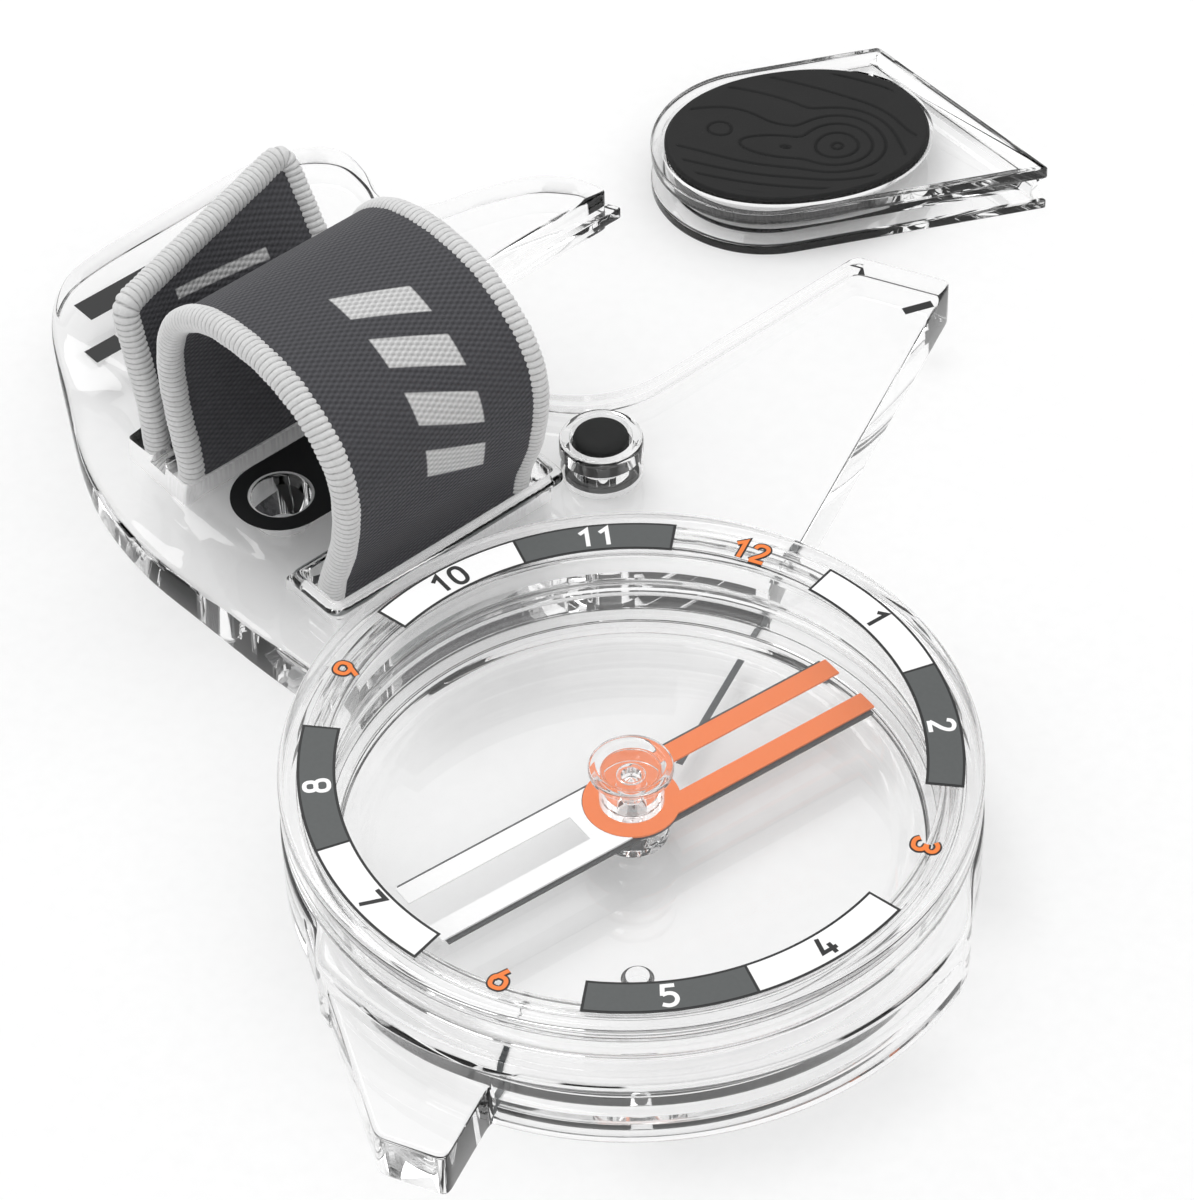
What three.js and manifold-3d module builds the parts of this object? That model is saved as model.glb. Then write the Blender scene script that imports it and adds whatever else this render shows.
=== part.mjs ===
// Thumb orienteering compass with a turning capsule, an elastic thumb strap and a slide-in thumb pad.
// Units are millimetres. Z is up, the underside of the plate is z = 0, and the needle turns about the Z axis.
// +Y runs along the sighting line from the nose (at -Y) to the hour 12 of the dial and the end of the arm.
import * as THREE from 'three';
import { mergeVertices } from 'three/addons/utils/BufferGeometryUtils.js';
import Module from 'manifold-3d';

const wasm = await Module();
wasm.setup();

// ---- driving dimensions ----
const PLATE_TOP = 4.0;            // plate thickness away from the capsule
const RIM_TOP = 4.8;              // raised rim round the front strap slot
const COLLAR_TOP = 5.8;           // collar that the capsule turns in
const COLLAR_BEVEL = 0.8;
const EDGE_BEVEL = 0.35;
const FRONT_RADIUS = 24.9;        // plate's round front, about the needle axis
const SIDE_RADIUS = 23.4;         // the same wall beside and behind the capsule
const EDGE_X = 0.8;               // straight map edge of nose and arm
const REAR_Y = 58.3;              // square rear end of arm and horn
const NOSE_Y = -31.3;
const NOSE_LEFT_X = -4.0;
const NOSE_SIDE_ANGLE = 222.4;    // where the nose's slanted side leaves the round wall, degrees

const STRAP_ANGLE = 64.5;         // direction of slots, strap tunnel and cutout, degrees from +X
const CUTOUT_MIDDLE = 40.45;      // cutout's centre line, across the strap direction
const CUTOUT_END = 30.2;          // centre of the cutout's round end, along the strap direction
const CUTOUT_HALF = 9.15;
const RAIL_DEPTH = 1.0;           // guide rail round the cutout's wall
const RAIL_BOTTOM = 1.5;
const RAIL_TOP = 2.5;

const SLOT_START = -2.7;          // slots' ends along the strap direction
const SLOT_END = 17.0;
const FRONT_SLOT = [28.1, 32.0];  // slots' sides across the strap direction
const REAR_SLOT = [45.4, 48.1];
const TAIL_SLOT = [49.6, 52.6];
const UNDERSIDE_RECESS = 2.5;     // depth of the strap's run below the rear bar
const ANCHOR_RECESS = 1.7;

const BORE_RADIUS = 22.0;         // capsule's bore in the plate
const LEDGE_RADIUS = 20.0;
const LEDGE_TOP = 1.0;
const GAP = 0.3;

const CUP_RADIUS = 21.6;
const CUP_INNER = 20.4;
const CUP_FOOT_RADIUS = 19.7;     // round foot that stands flush with the plate's underside
const CUP_BOTTOM = 1.3;
const CUP_FLOOR = 1.6;
const CUP_EDGE_FLOOR = 2.2;       // floor where it meets the wall, beyond the foot
const CUP_TOP = 8.1;
const LID_RADIUS = 23.3;
const LID_TOP = 9.4;
const LID_THICKNESS = 1.0;
const LID_SKIRT_BOTTOM = 6.1;
const LID_CHAMFER = 0.35;

const DIAL_OUTER = 22.0;
const DIAL_INNER = 19.44;
const DIAL_FILM = 0.1;

const NEEDLE_ANGLE = 58.8;        // rest direction of the needle's north end, degrees from +X
const NEEDLE_NORTH = 18.2;
const NEEDLE_SOUTH = 17.0;
const NEEDLE_WIDTH = 6.1;
const NEEDLE_SLOT = 2.4;
const NEEDLE_EDGE = 0.3;          // dark edge left bare beside the coloured faces
const NEEDLE_BOTTOM = 4.35;
const BLADE_THICKNESS = 0.15;
const FACE_OVERHANG = 0.5;        // how far the faces reach past the blade at its slot
const FACE_END_OVERHANG = 0.3;
const FACE_THICKNESS = 0.15;
const FACE_GAP = 0.05;
const HUB_RADIUS = 3.3;
const HUB_HOLE = 1.1;

const CARRIER_HALF = 8.85;
const CARRIER_NOSE = [-18.2, 68.1];
const CARRIER_EXTRA = 0.7;        // length of the carrier past the cutout's mouth
const CARRIER_TURN = -27.2;       // turn from its direction in the cutout, degrees
const CARRIER_GROOVE = 1.3;
const GROOVE_BOTTOM = 1.2;
const GROOVE_TOP = 2.8;
const PAD_HALF_LENGTH = 10.45;
const PAD_HALF_WIDTH = 7.9;
const PAD_ROUNDNESS = 2.15;       // exponent of the pad's super-ellipse
const PAD_OFFSET = 2.55;          // pad's centre, from the carrier's nose centre towards its end
const PAD_TURN = -3;              // pad's turn on the carrier, degrees
const PAD_TOP = 4.3;
const PAD_BEVEL = 0.2;
const PAD_FLANGE = 1.0;           // how far the pad's top stands out past its core
const PAD_FIT = 0.15;             // half the gap between the pad and its pocket
const POCKET_LEDGE = 3.4;         // ledge that the pad's flange rests on
const POCKET_FLOOR = 1.0;
const GLUE = 0.1;                 // film of glue under the pad

const PLUG_AT = [-16.0, 31.5];
const PLUG_RADIUS = 2.0;
const PLUG_COLLAR_RADIUS = 3.05;
const PLUG_COLLAR_TOP = 5.3;
const PLUG_TOP = 5.6;
const STENCIL_AT = [-35.3, 18.5];
const STENCIL_RADIUS = 2.15;
const FILLER_AT = [5.4, -11.7];
const FILLER_RADIUS = 0.8;

const BAND_THICKNESS = 1.4;
const BAND_START = 0.1;           // webbing's sides along the strap direction
const BAND_END = 14.3;
const TRIM_RADIUS = 1.0;
const TRIM_AT = [-1.3, 15.7];

// ---- helpers ----
const degrees = (angle) => THREE.MathUtils.degToRad(angle);
const ALONG = new THREE.Vector2(Math.cos(degrees(STRAP_ANGLE)), Math.sin(degrees(STRAP_ANGLE)));
const ACROSS = new THREE.Vector2(-ALONG.y, ALONG.x);

// plan point from distances along and across the strap direction
function strapPoint(along, across) {
  return ALONG.clone().multiplyScalar(along).addScaledVector(ACROSS, across);
}

// evenly spaced points of an arc, both ends included, angles in degrees
function arc(x, y, radius, from, to, steps) {
  return Array.from({ length: steps + 1 }, (_, i) => {
    const angle = degrees(from + ((to - from) * i) / steps);
    return new THREE.Vector2(x + radius * Math.cos(angle), y + radius * Math.sin(angle));
  });
}

// welded copy of a geometry without collapsed triangles
function welded(geometry) {
  const bare = geometry.clone();
  bare.deleteAttribute('normal');
  bare.deleteAttribute('uv');
  const merged = mergeVertices(bare, 1e-4);
  const index = merged.index.array;
  const kept = [];
  for (let i = 0; i < index.length; i += 3) {
    const [a, b, c] = index.slice(i, i + 3);
    if (a !== b && b !== c && c !== a) kept.push(a, b, c);
  }
  merged.setIndex(kept);
  return merged;
}

function solid(geometry) {
  const merged = welded(geometry);
  return new wasm.Manifold(new wasm.Mesh({
    numProp: 3,
    vertProperties: new Float32Array(merged.attributes.position.array),
    triVerts: new Uint32Array(merged.index.array),
  }));
}

function geometryOf(manifold) {
  const mesh = manifold.getMesh();
  const geometry = new THREE.BufferGeometry();
  geometry.setAttribute('position', new THREE.BufferAttribute(mesh.vertProperties, 3));
  geometry.setIndex(new THREE.BufferAttribute(mesh.triVerts, 1));
  geometry.computeVertexNormals();
  return geometry;
}

// upright prism from an outline, its top and bottom edges bevelled inwards
function prism(points, bottom, top, bevel = 0) {
  const geometry = new THREE.ExtrudeGeometry(new THREE.Shape(points), {
    depth: top - bottom - 2 * bevel,
    bevelEnabled: bevel > 0,
    bevelThickness: bevel,
    bevelSize: bevel,
    bevelOffset: -bevel,
    bevelSegments: 1,
  });
  return geometry.translate(0, 0, bottom + bevel);
}

// body turned about the Z axis from [radius, height] pairs
function turned(profile, segments = 96) {
  const geometry = new THREE.LatheGeometry(profile.map(([r, z]) => new THREE.Vector2(r, z)), segments);
  return geometry.rotateX(Math.PI / 2);
}

function tube(inner, outer, bottom, top, segments = 96) {
  return turned([[inner, bottom], [outer, bottom], [outer, top], [inner, top], [inner, bottom]], segments);
}

function disc(radius, bottom, top, segments = 96) {
  return turned([[0, bottom], [radius, bottom], [radius, top], [0, top]], segments);
}

// super-ellipse about the origin
function superEllipse(halfLength, halfWidth, exponent, steps = 40) {
  const power = (value) => Math.sign(value) * Math.abs(value) ** (2 / exponent);
  return Array.from({ length: steps }, (_, i) => {
    const angle = (2 * Math.PI * i) / steps;
    return new THREE.Vector2(halfLength * power(Math.cos(angle)), halfWidth * power(Math.sin(angle)));
  });
}

// rectangle between two distances along and two across the strap direction
function slotOutline(start, end, sides) {
  return [
    strapPoint(start, sides[1]),
    strapPoint(start, sides[0]),
    strapPoint(end, sides[0]),
    strapPoint(end, sides[1]),
  ];
}

// ---- materials ----
const finish = (color, roughness, metalness = 0) => new THREE.MeshStandardMaterial({ color, roughness, metalness });
const clearAcrylic = finish(0xf4f6f7, 0.05);
const webbing = finish(0x4a4a4d, 0.9);
const whippedEdge = finish(0xd5d5d5, 0.8);
const silicone = finish(0x383838, 0.7);
const steel = finish(0xb8bcc0, 0.25, 1);
const ferrite = finish(0x30343a, 0.5, 0.6);
const bladeInk = finish(0x2b3238, 0.4);
const northOrange = finish(0xff8c42, 0.5);
const southWhite = finish(0xf6f6f4, 0.5);
const sapphire = finish(0xd9e4f2, 0.05);
const greyPolymer = finish(0x8d9092, 0.5);

const compass = new THREE.Group();
const capsule = new THREE.Group();
const needle = new THREE.Group();
needle.rotation.z = degrees(NEEDLE_ANGLE);
capsule.add(needle);
compass.add(capsule);

function place(group, name, shape, material) {
  const geometry = shape instanceof THREE.BufferGeometry ? shape : geometryOf(shape);
  const mesh = new THREE.Mesh(geometry, material);
  mesh.name = name;
  group.add(mesh);
  return mesh;
}

// ---- baseplate ----
// point where the line at `across` meets the square rear end
function atRearEnd(across) {
  const along = (REAR_Y - ACROSS.y * across) / ALONG.y;
  return strapPoint(along, across);
}

// the cutout's wall, from the arm round the closed end to the horn
function cutoutWall(half, steps = 18) {
  const centre = strapPoint(CUTOUT_END, CUTOUT_MIDDLE);
  const side = STRAP_ANGLE - 90;
  return arc(centre.x, centre.y, half, side, side - 180, steps);
}

function plateOutline() {
  const frontStart = -THREE.MathUtils.radToDeg(Math.acos(EDGE_X / FRONT_RADIUS));
  const rearArm = THREE.MathUtils.radToDeg(Math.acos(EDGE_X / SIDE_RADIUS));
  const lobe = new THREE.SplineCurve([
    [-36.6, 54.6], [-39.4, 51.4], [-42.6, 50.9], [-45.6, 53.6], [-48.8, 55.0], [-52.4, 53.2],
    [-55.0, 49.0], [-57.4, 43.6], [-60.2, 37.0], [-60.9, 33.0], [-59.2, 28.2], [-55.3, 22.9],
    [-51.2, 17.6], [-47.2, 13.8], [-42.3, 10.6], [-36.7, 8.1], [-30.9, 5.6], [-25.6, 3.6],
  ].map(([x, y]) => new THREE.Vector2(x, y)));
  const horn = new THREE.SplineCurve([
    new THREE.Vector2(-29.9, REAR_Y + 0.5), new THREE.Vector2(-33.2, 57.7), new THREE.Vector2(-36.6, 54.6),
  ]);
  return [
    new THREE.Vector2(EDGE_X, NOSE_Y),
    ...arc(0, 0, FRONT_RADIUS, frontStart, -8, 26),
    ...arc(0, 0, SIDE_RADIUS, 8, rearArm, 20),
    new THREE.Vector2(EDGE_X, REAR_Y),
    atRearEnd(CUTOUT_MIDDLE - CUTOUT_HALF),
    ...cutoutWall(CUTOUT_HALF),
    atRearEnd(CUTOUT_MIDDLE + CUTOUT_HALF),
    ...horn.getPoints(5).slice(0, -1),
    ...lobe.getPoints(48),
    ...arc(0, 0, SIDE_RADIUS, 173, NOSE_SIDE_ANGLE, 14),
    new THREE.Vector2(NOSE_LEFT_X, NOSE_Y),
  ];
}

// guide rail: a thin layer that narrows the cutout all round
function railOutline() {
  const wide = CUTOUT_HALF + 1.2;
  return [
    atRearEnd(CUTOUT_MIDDLE - wide),
    ...cutoutWall(wide),
    atRearEnd(CUTOUT_MIDDLE + wide),
    atRearEnd(CUTOUT_MIDDLE + CUTOUT_HALF - RAIL_DEPTH),
    ...cutoutWall(CUTOUT_HALF - RAIL_DEPTH).reverse(),
    atRearEnd(CUTOUT_MIDDLE - CUTOUT_HALF + RAIL_DEPTH),
  ];
}

function collarOutline() {
  return [
    ...arc(0, 0, FRONT_RADIUS, -88, -8, 26),
    ...arc(0, 0, SIDE_RADIUS, 8, NOSE_SIDE_ANGLE, 52),
    ...arc(0, 0, FRONT_RADIUS, 240, 262, 6),
  ];
}

function baseplate() {
  const [frontSide] = FRONT_SLOT;
  const tailSide = TAIL_SLOT[1];
  const rim = 0.8;
  const through = [-1, 7];
  const cuts = [
    disc(BORE_RADIUS, LEDGE_TOP, through[1]),
    disc(LEDGE_RADIUS, through[0], through[1]),
    prism(slotOutline(SLOT_START, SLOT_END, FRONT_SLOT), ...through),
    prism(slotOutline(SLOT_START, SLOT_END, REAR_SLOT), ...through),
    prism(slotOutline(SLOT_START, SLOT_END, TAIL_SLOT), ...through),
    prism(slotOutline(SLOT_START, SLOT_END, [REAR_SLOT[0], tailSide]), through[0], UNDERSIDE_RECESS),
    prism(slotOutline(SLOT_START, SLOT_END, [frontSide, FRONT_SLOT[1] + 2]), through[0], ANCHOR_RECESS),
    disc(PLUG_RADIUS + GAP, through[0], through[1], 32).translate(...PLUG_AT, 0),
    disc(PLUG_RADIUS + 1, through[0], LEDGE_TOP, 32).translate(...PLUG_AT, 0),
    disc(STENCIL_RADIUS, through[0], through[1], 32).translate(...STENCIL_AT, 0),
  ];
  const slotRim = slotOutline(SLOT_START - rim, SLOT_END + rim, [frontSide - rim, FRONT_SLOT[1] + rim]);
  let body = solid(prism(plateOutline(), 0, PLATE_TOP, EDGE_BEVEL))
    .add(solid(prism(collarOutline(), 0.5, COLLAR_TOP, COLLAR_BEVEL)))
    .add(solid(prism(slotRim, 0.5, RIM_TOP, EDGE_BEVEL)))
    .add(solid(prism(railOutline(), RAIL_BOTTOM, RAIL_TOP)))
    .add(solid(disc(PLUG_COLLAR_RADIUS, 0.5, PLUG_COLLAR_TOP, 32).translate(...PLUG_AT, 0)));
  for (const cut of cuts) body = body.subtract(solid(cut));
  return body;
}

place(compass, 'baseplate', baseplate(), clearAcrylic);

// ---- capsule ----
function capsuleCup() {
  const groove = CUP_RADIUS - 0.55;
  const rimStep = CUP_RADIUS - 0.85;
  const cup = solid(turned([
    [0, 0], [CUP_FOOT_RADIUS, 0], [CUP_FOOT_RADIUS, CUP_BOTTOM], [CUP_RADIUS, CUP_BOTTOM],
    [CUP_RADIUS, 3.05], [groove, 3.05], [groove, 4.35],
    [CUP_RADIUS, 4.35], [CUP_RADIUS, 7.1], [rimStep, 7.1], [rimStep, CUP_TOP], [CUP_INNER, CUP_TOP],
    [CUP_INNER, CUP_EDGE_FLOOR], [18.6, CUP_EDGE_FLOOR], [17.6, CUP_FLOOR], [0, CUP_FLOOR],
  ], 80));
  return cup.subtract(solid(disc(FILLER_RADIUS + GAP, -1, 3, 20).translate(...FILLER_AT, 0)));
}

place(capsule, 'capsule_cup', capsuleCup(), clearAcrylic);
place(capsule, 'capsule_lid', turned([
  [0, LID_TOP - LID_THICKNESS], [CUP_RADIUS + GAP, LID_TOP - LID_THICKNESS],
  [CUP_RADIUS + GAP, LID_SKIRT_BOTTOM], [LID_RADIUS - 0.1, LID_SKIRT_BOTTOM],
  [LID_RADIUS, LID_SKIRT_BOTTOM + 0.1], [LID_RADIUS, LID_TOP - LID_CHAMFER],
  [LID_RADIUS - LID_CHAMFER, LID_TOP], [0, LID_TOP],
], 80), clearAcrylic);
place(capsule, 'lid_seal_ring', tube(21.05, 21.6, 7.3, 8.1, 64), silicone);
place(capsule, 'friction_ring', tube(21.35, 21.85, 3.35, 4.05, 64), silicone);
const filler = disc(FILLER_RADIUS, 0.1, CUP_FLOOR + GAP, 20).translate(...FILLER_AT, 0);
place(capsule, 'filler_plug', filler, clearAcrylic);
const dialBottom = LID_TOP + 0.02;
place(capsule, 'dial_ring', tube(DIAL_INNER, DIAL_OUTER, dialBottom, dialBottom + DIAL_FILM, 80), southWhite);
place(capsule, 'pivot_base', turned([
  [0.65, CUP_FLOOR + 0.05], [2.5, CUP_FLOOR + 0.05], [2.4, 2.3], [1.9, 2.8], [1.3, 3.1],
  [1.2, 3.4], [0.65, 3.4], [0.65, CUP_FLOOR + 0.05],
], 40), clearAcrylic);
place(capsule, 'pivot_pin', turned([
  [0, CUP_FLOOR + 0.1], [0.35, CUP_FLOOR + 0.1], [0.35, 5.2], [0.05, 5.95], [0, 5.95],
], 20), steel);

// ---- needle, along +X before its rest turn ----
const HALF_SLOT = NEEDLE_SLOT / 2;

// two bars beside a slot, narrowed by a margin at their outer sides
function twinBars(from, to, halfSlot, margin, bottom, top) {
  const half = NEEDLE_WIDTH / 2 - margin;
  const bars = [-1, 1].map((side) => [
    [from, side * half], [from, side * halfSlot], [to, side * halfSlot], [to, side * half],
  ].map(([x, y]) => new THREE.Vector2(x, y)));
  return solid(prism(bars[0], bottom, top)).add(solid(prism(bars[1], bottom, top)));
}

function needleBlade() {
  const top = NEEDLE_BOTTOM + BLADE_THICKNESS;
  const [south, north] = [NEEDLE_SOUTH - FACE_END_OVERHANG, NEEDLE_NORTH - FACE_END_OVERHANG];
  return twinBars(-south, north, HALF_SLOT + FACE_OVERHANG, 0, NEEDLE_BOTTOM, top)
    .add(solid(disc(HUB_RADIUS, NEEDLE_BOTTOM, top, 48)))
    .subtract(solid(disc(HUB_HOLE, 0, 9, 32)));
}

const FACE_BOTTOM = NEEDLE_BOTTOM + BLADE_THICKNESS + FACE_GAP;
const FACE_TOP = FACE_BOTTOM + FACE_THICKNESS;

// the north face covers the whole hub, and the south face ends beside it in one piece with a bridge
function northFace() {
  return twinBars(0, NEEDLE_NORTH, HALF_SLOT, NEEDLE_EDGE, FACE_BOTTOM, FACE_TOP)
    .add(solid(disc(HUB_RADIUS, FACE_BOTTOM, FACE_TOP, 48)))
    .subtract(solid(disc(HUB_HOLE, 0, 9, 32)));
}

function southFace() {
  const bridge = [
    [-HUB_RADIUS - 0.9, HALF_SLOT + 0.1], [-HUB_RADIUS - 0.9, -HALF_SLOT - 0.1],
    [-1, -HALF_SLOT - 0.1], [-1, HALF_SLOT + 0.1],
  ].map(([x, y]) => new THREE.Vector2(x, y));
  return twinBars(-NEEDLE_SOUTH, -1, HALF_SLOT, NEEDLE_EDGE, FACE_BOTTOM, FACE_TOP)
    .add(solid(prism(bridge, FACE_BOTTOM, FACE_TOP)))
    .subtract(solid(disc(HUB_RADIUS + FACE_GAP, 0, 9, 48)));
}

place(needle, 'needle_blade', needleBlade(), bladeInk);
place(needle, 'needle_north_face', northFace(), northOrange);
place(needle, 'needle_south_face', southFace(), southWhite);
const MAGNET = { length: 3.6, width: 1.0, height: 0.5, offset: 1.75 };
for (const [name, side] of [['needle_magnet_left', 1], ['needle_magnet_right', -1]]) {
  const bar = new THREE.BoxGeometry(MAGNET.length, MAGNET.width, MAGNET.height);
  const magnet = place(needle, name, bar, ferrite);
  magnet.position.set(0, side * MAGNET.offset, NEEDLE_BOTTOM - FACE_GAP - MAGNET.height / 2);
}
const CAP_BOTTOM = NEEDLE_BOTTOM + BLADE_THICKNESS + 2 * FACE_GAP + FACE_THICKNESS;
place(needle, 'bearing_cap', turned([
  [1.0, CAP_BOTTOM], [2.2, CAP_BOTTOM], [2.2, 7.3], [2.85, 7.6], [2.85, 8.05], [2.3, 8.05],
  [1.9, 7.7], [0, 7.7], [0, 6.9], [1.0, 6.9], [1.0, CAP_BOTTOM],
], 40), clearAcrylic);
place(needle, 'jewel_bearing', turned([
  [0, 6.3], [0.45, 5.55], [0.7, 5.55], [0.7, 6.8], [0, 6.8],
], 20), sapphire);

// ---- thumb strap ----
// middle line of the webbing, as [across, height] pairs from the anchor bar to the free tail
const strapLine = new THREE.CatmullRomCurve3([
  [30.8, 2.1], [30.3, 4.4], [28.7, 8.6], [28.0, 12.8], [28.5, 16.0], [30.7, 18.8], [34.2, 20.7],
  [38.5, 21.2], [42.8, 20.4], [46.3, 17.8], [47.8, 14.0], [47.7, 9.0], [46.9, 4.8], [46.8, 2.9],
  [47.4, 1.4], [48.9, 1.1], [50.4, 1.45], [51.0, 3.2], [51.1, 6.0], [52.1, 10.6], [53.2, 14.8],
].map(([across, height]) => new THREE.Vector3(across, height, 0)), false, 'catmullrom', 0.5);
const STRAP_STEPS = 60;
const TAIL_START = 50.2;          // where the free tail leaves the plate, across the strap direction
const TAIL_LENGTH = 12;
const TAIL_SWING = 5.2;           // how far the tail's far corner leans back beyond the near one
const TAIL_LIFT = 1.0;
const TAIL_SPREAD = 1.2;          // how far the tail's far edge stands out past the loop's

// the strap's side view, thickened evenly to both sides of its middle line
function bandOutline() {
  const half = BAND_THICKNESS / 2;
  const sides = [[], []];
  for (let i = 0; i <= STRAP_STEPS; i += 1) {
    const point = strapLine.getPointAt(i / STRAP_STEPS);
    const tangent = strapLine.getTangentAt(i / STRAP_STEPS);
    sides[0].push(new THREE.Vector2(point.x - half * tangent.y, point.y + half * tangent.x));
    sides[1].push(new THREE.Vector2(point.x + half * tangent.y, point.y - half * tangent.x));
  }
  return [...sides[0], ...sides[1].reverse()];
}

// the free tail is twisted: it leans further back towards its far edge and its tip
function leanTail(geometry) {
  const position = geometry.attributes.position;
  for (let i = 0; i < position.count; i += 1) {
    const [across, height, along] = [position.getX(i), position.getY(i), position.getZ(i)];
    const onTail = THREE.MathUtils.smoothstep(across, TAIL_START - 1, TAIL_START + 0.4);
    const climb = Math.max(0, height - 3.5) / TAIL_LENGTH;
    const farness = (along - TRIM_AT[0]) / (TRIM_AT[1] - TRIM_AT[0]);
    const lean = onTail * climb * farness;
    position.setX(i, across + TAIL_SWING * lean);
    position.setY(i, height + TAIL_LIFT * lean);
    position.setZ(i, along + TAIL_SPREAD * onTail * farness * THREE.MathUtils.smoothstep(climb, 0.05, 0.4));
  }
  return geometry;
}

// takes (across, height, along) to the model's frame
const strapFrame = new THREE.Matrix4().makeBasis(
  new THREE.Vector3(ACROSS.x, ACROSS.y, 0),
  new THREE.Vector3(0, 0, 1),
  new THREE.Vector3(ALONG.x, ALONG.y, 0),
);
const strapBand = new THREE.ExtrudeGeometry(new THREE.Shape(bandOutline()), {
  depth: BAND_END - BAND_START, bevelEnabled: false,
});
place(compass, 'strap_band', leanTail(strapBand.translate(0, 0, BAND_START)).applyMatrix4(strapFrame), webbing);

const trimSection = new THREE.Shape(arc(0, 0, TRIM_RADIUS, 0, 315, 7));
for (const [name, along] of [['strap_edge_left', TRIM_AT[0]], ['strap_edge_right', TRIM_AT[1]]]) {
  const trim = new THREE.ExtrudeGeometry(trimSection, {
    steps: 56, extrudePath: strapLine, bevelEnabled: false,
  });
  place(compass, name, leanTail(trim.translate(0, 0, along)).applyMatrix4(strapFrame), whippedEdge);
}
place(compass, 'strap_anchor_bar', prism(
  slotOutline(SLOT_START + 0.4, SLOT_END - 0.4, [FRONT_SLOT[0] + 0.4, FRONT_SLOT[1] + 1.6]), 0.3, 0.9,
), greyPolymer);

// ---- grip plug ----
place(compass, 'grip_plug', turned([
  [0, 0], [PLUG_RADIUS + 0.7, 0], [PLUG_RADIUS + 0.7, 0.7], [PLUG_RADIUS, 0.7],
  [PLUG_RADIUS, PLUG_TOP - 0.3], [PLUG_RADIUS - 0.3, PLUG_TOP], [0, PLUG_TOP],
], 32).translate(...PLUG_AT, 0), silicone);

// ---- thumb pad on its slide-in carrier ----
// outline in the cutout's direction, with its nose centre at the origin
function carrierOutline(half) {
  const end = (REAR_Y + CARRIER_EXTRA - strapPoint(CUTOUT_END, CUTOUT_MIDDLE).y) / ALONG.y;
  const corner = (side) => strapPoint(end - (ACROSS.y * side) / ALONG.y, side);
  const start = STRAP_ANGLE - 90;
  return [corner(-half), corner(half), ...arc(0, 0, half, start + 180, start + 360, 18)];
}

function padOutline(margin) {
  const turn = degrees(STRAP_ANGLE + PAD_TURN);
  const origin = new THREE.Vector2();
  const centre = ALONG.clone().multiplyScalar(PAD_OFFSET);
  return superEllipse(PAD_HALF_LENGTH + margin, PAD_HALF_WIDTH + margin, PAD_ROUNDNESS)
    .map((point) => point.rotateAround(origin, turn).add(centre));
}

function padCarrier() {
  return solid(prism(carrierOutline(CARRIER_HALF), 0, GROOVE_BOTTOM))
    .add(solid(prism(carrierOutline(CARRIER_HALF - CARRIER_GROOVE), GROOVE_BOTTOM - 0.2, GROOVE_TOP + 0.2)))
    .add(solid(prism(carrierOutline(CARRIER_HALF), GROOVE_TOP, PLATE_TOP)))
    .subtract(solid(prism(padOutline(PAD_FIT), POCKET_LEDGE, PLATE_TOP + 1)))
    .subtract(solid(prism(padOutline(PAD_FIT - PAD_FLANGE), POCKET_FLOOR, PLATE_TOP + 1)));
}

// a wide thin top on a deep core, standing clear of its pocket's floor and ledge by a film of glue
function thumbPad() {
  const top = prism(padOutline(-PAD_FIT), POCKET_LEDGE + GLUE, PAD_TOP, PAD_BEVEL);
  const coreTop = POCKET_LEDGE + 2 * GLUE + PAD_BEVEL;
  const core = prism(padOutline(-PAD_FIT - PAD_FLANGE), POCKET_FLOOR + GLUE, coreTop);
  return solid(top).add(solid(core));
}

const carrier = new THREE.Group();
carrier.position.set(...CARRIER_NOSE, 0);
carrier.rotation.z = degrees(CARRIER_TURN);
compass.add(carrier);
place(carrier, 'pad_carrier', padCarrier(), clearAcrylic);
place(carrier, 'thumb_pad', thumbPad(), silicone);

export default compass;
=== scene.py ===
import math

import bpy
import numpy as np
from mathutils import Matrix, Vector


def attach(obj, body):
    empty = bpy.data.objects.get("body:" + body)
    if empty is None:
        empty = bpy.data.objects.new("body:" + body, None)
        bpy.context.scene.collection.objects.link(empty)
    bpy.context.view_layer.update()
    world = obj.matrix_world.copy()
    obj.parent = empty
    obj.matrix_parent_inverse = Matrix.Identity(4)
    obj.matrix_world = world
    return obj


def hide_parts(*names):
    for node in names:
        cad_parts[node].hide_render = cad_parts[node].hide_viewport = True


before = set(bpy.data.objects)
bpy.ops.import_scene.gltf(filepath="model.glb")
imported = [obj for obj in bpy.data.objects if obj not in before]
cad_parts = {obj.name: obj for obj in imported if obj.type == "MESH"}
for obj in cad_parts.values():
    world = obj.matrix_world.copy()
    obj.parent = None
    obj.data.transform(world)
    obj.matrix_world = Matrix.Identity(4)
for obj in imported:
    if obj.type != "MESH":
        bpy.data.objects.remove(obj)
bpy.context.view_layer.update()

scene = bpy.context.scene


# ---- Camera: a long lens held above the nose, looking back along the arm ----
camera = bpy.data.objects.new("camera", bpy.data.cameras.new("camera"))
scene.collection.objects.link(camera)
scene.camera = camera
camera.data.lens = 139.25
camera.data.sensor_width = 36
CAMERA_HEIGHT_ANGLE = 0.7871
CAMERA_ROLL = -0.0327
CAMERA_TURN = math.radians(24.97)
looking_back = Vector((0, -math.cos(CAMERA_HEIGHT_ANGLE), math.sin(CAMERA_HEIGHT_ANGLE)))
level_right = Vector((1, 0, 0))
level_up = looking_back.cross(level_right)
right = math.cos(CAMERA_ROLL) * level_right + math.sin(CAMERA_ROLL) * level_up
up = math.cos(CAMERA_ROLL) * level_up - math.sin(CAMERA_ROLL) * level_right
aim = Matrix((right, up, looking_back)).transposed()
camera.matrix_world = Matrix.LocRotScale(
    Vector((0.08624, -0.18964, 0.23309)), Matrix.Rotation(CAMERA_TURN, 3, "Z") @ aim, None)


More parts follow.
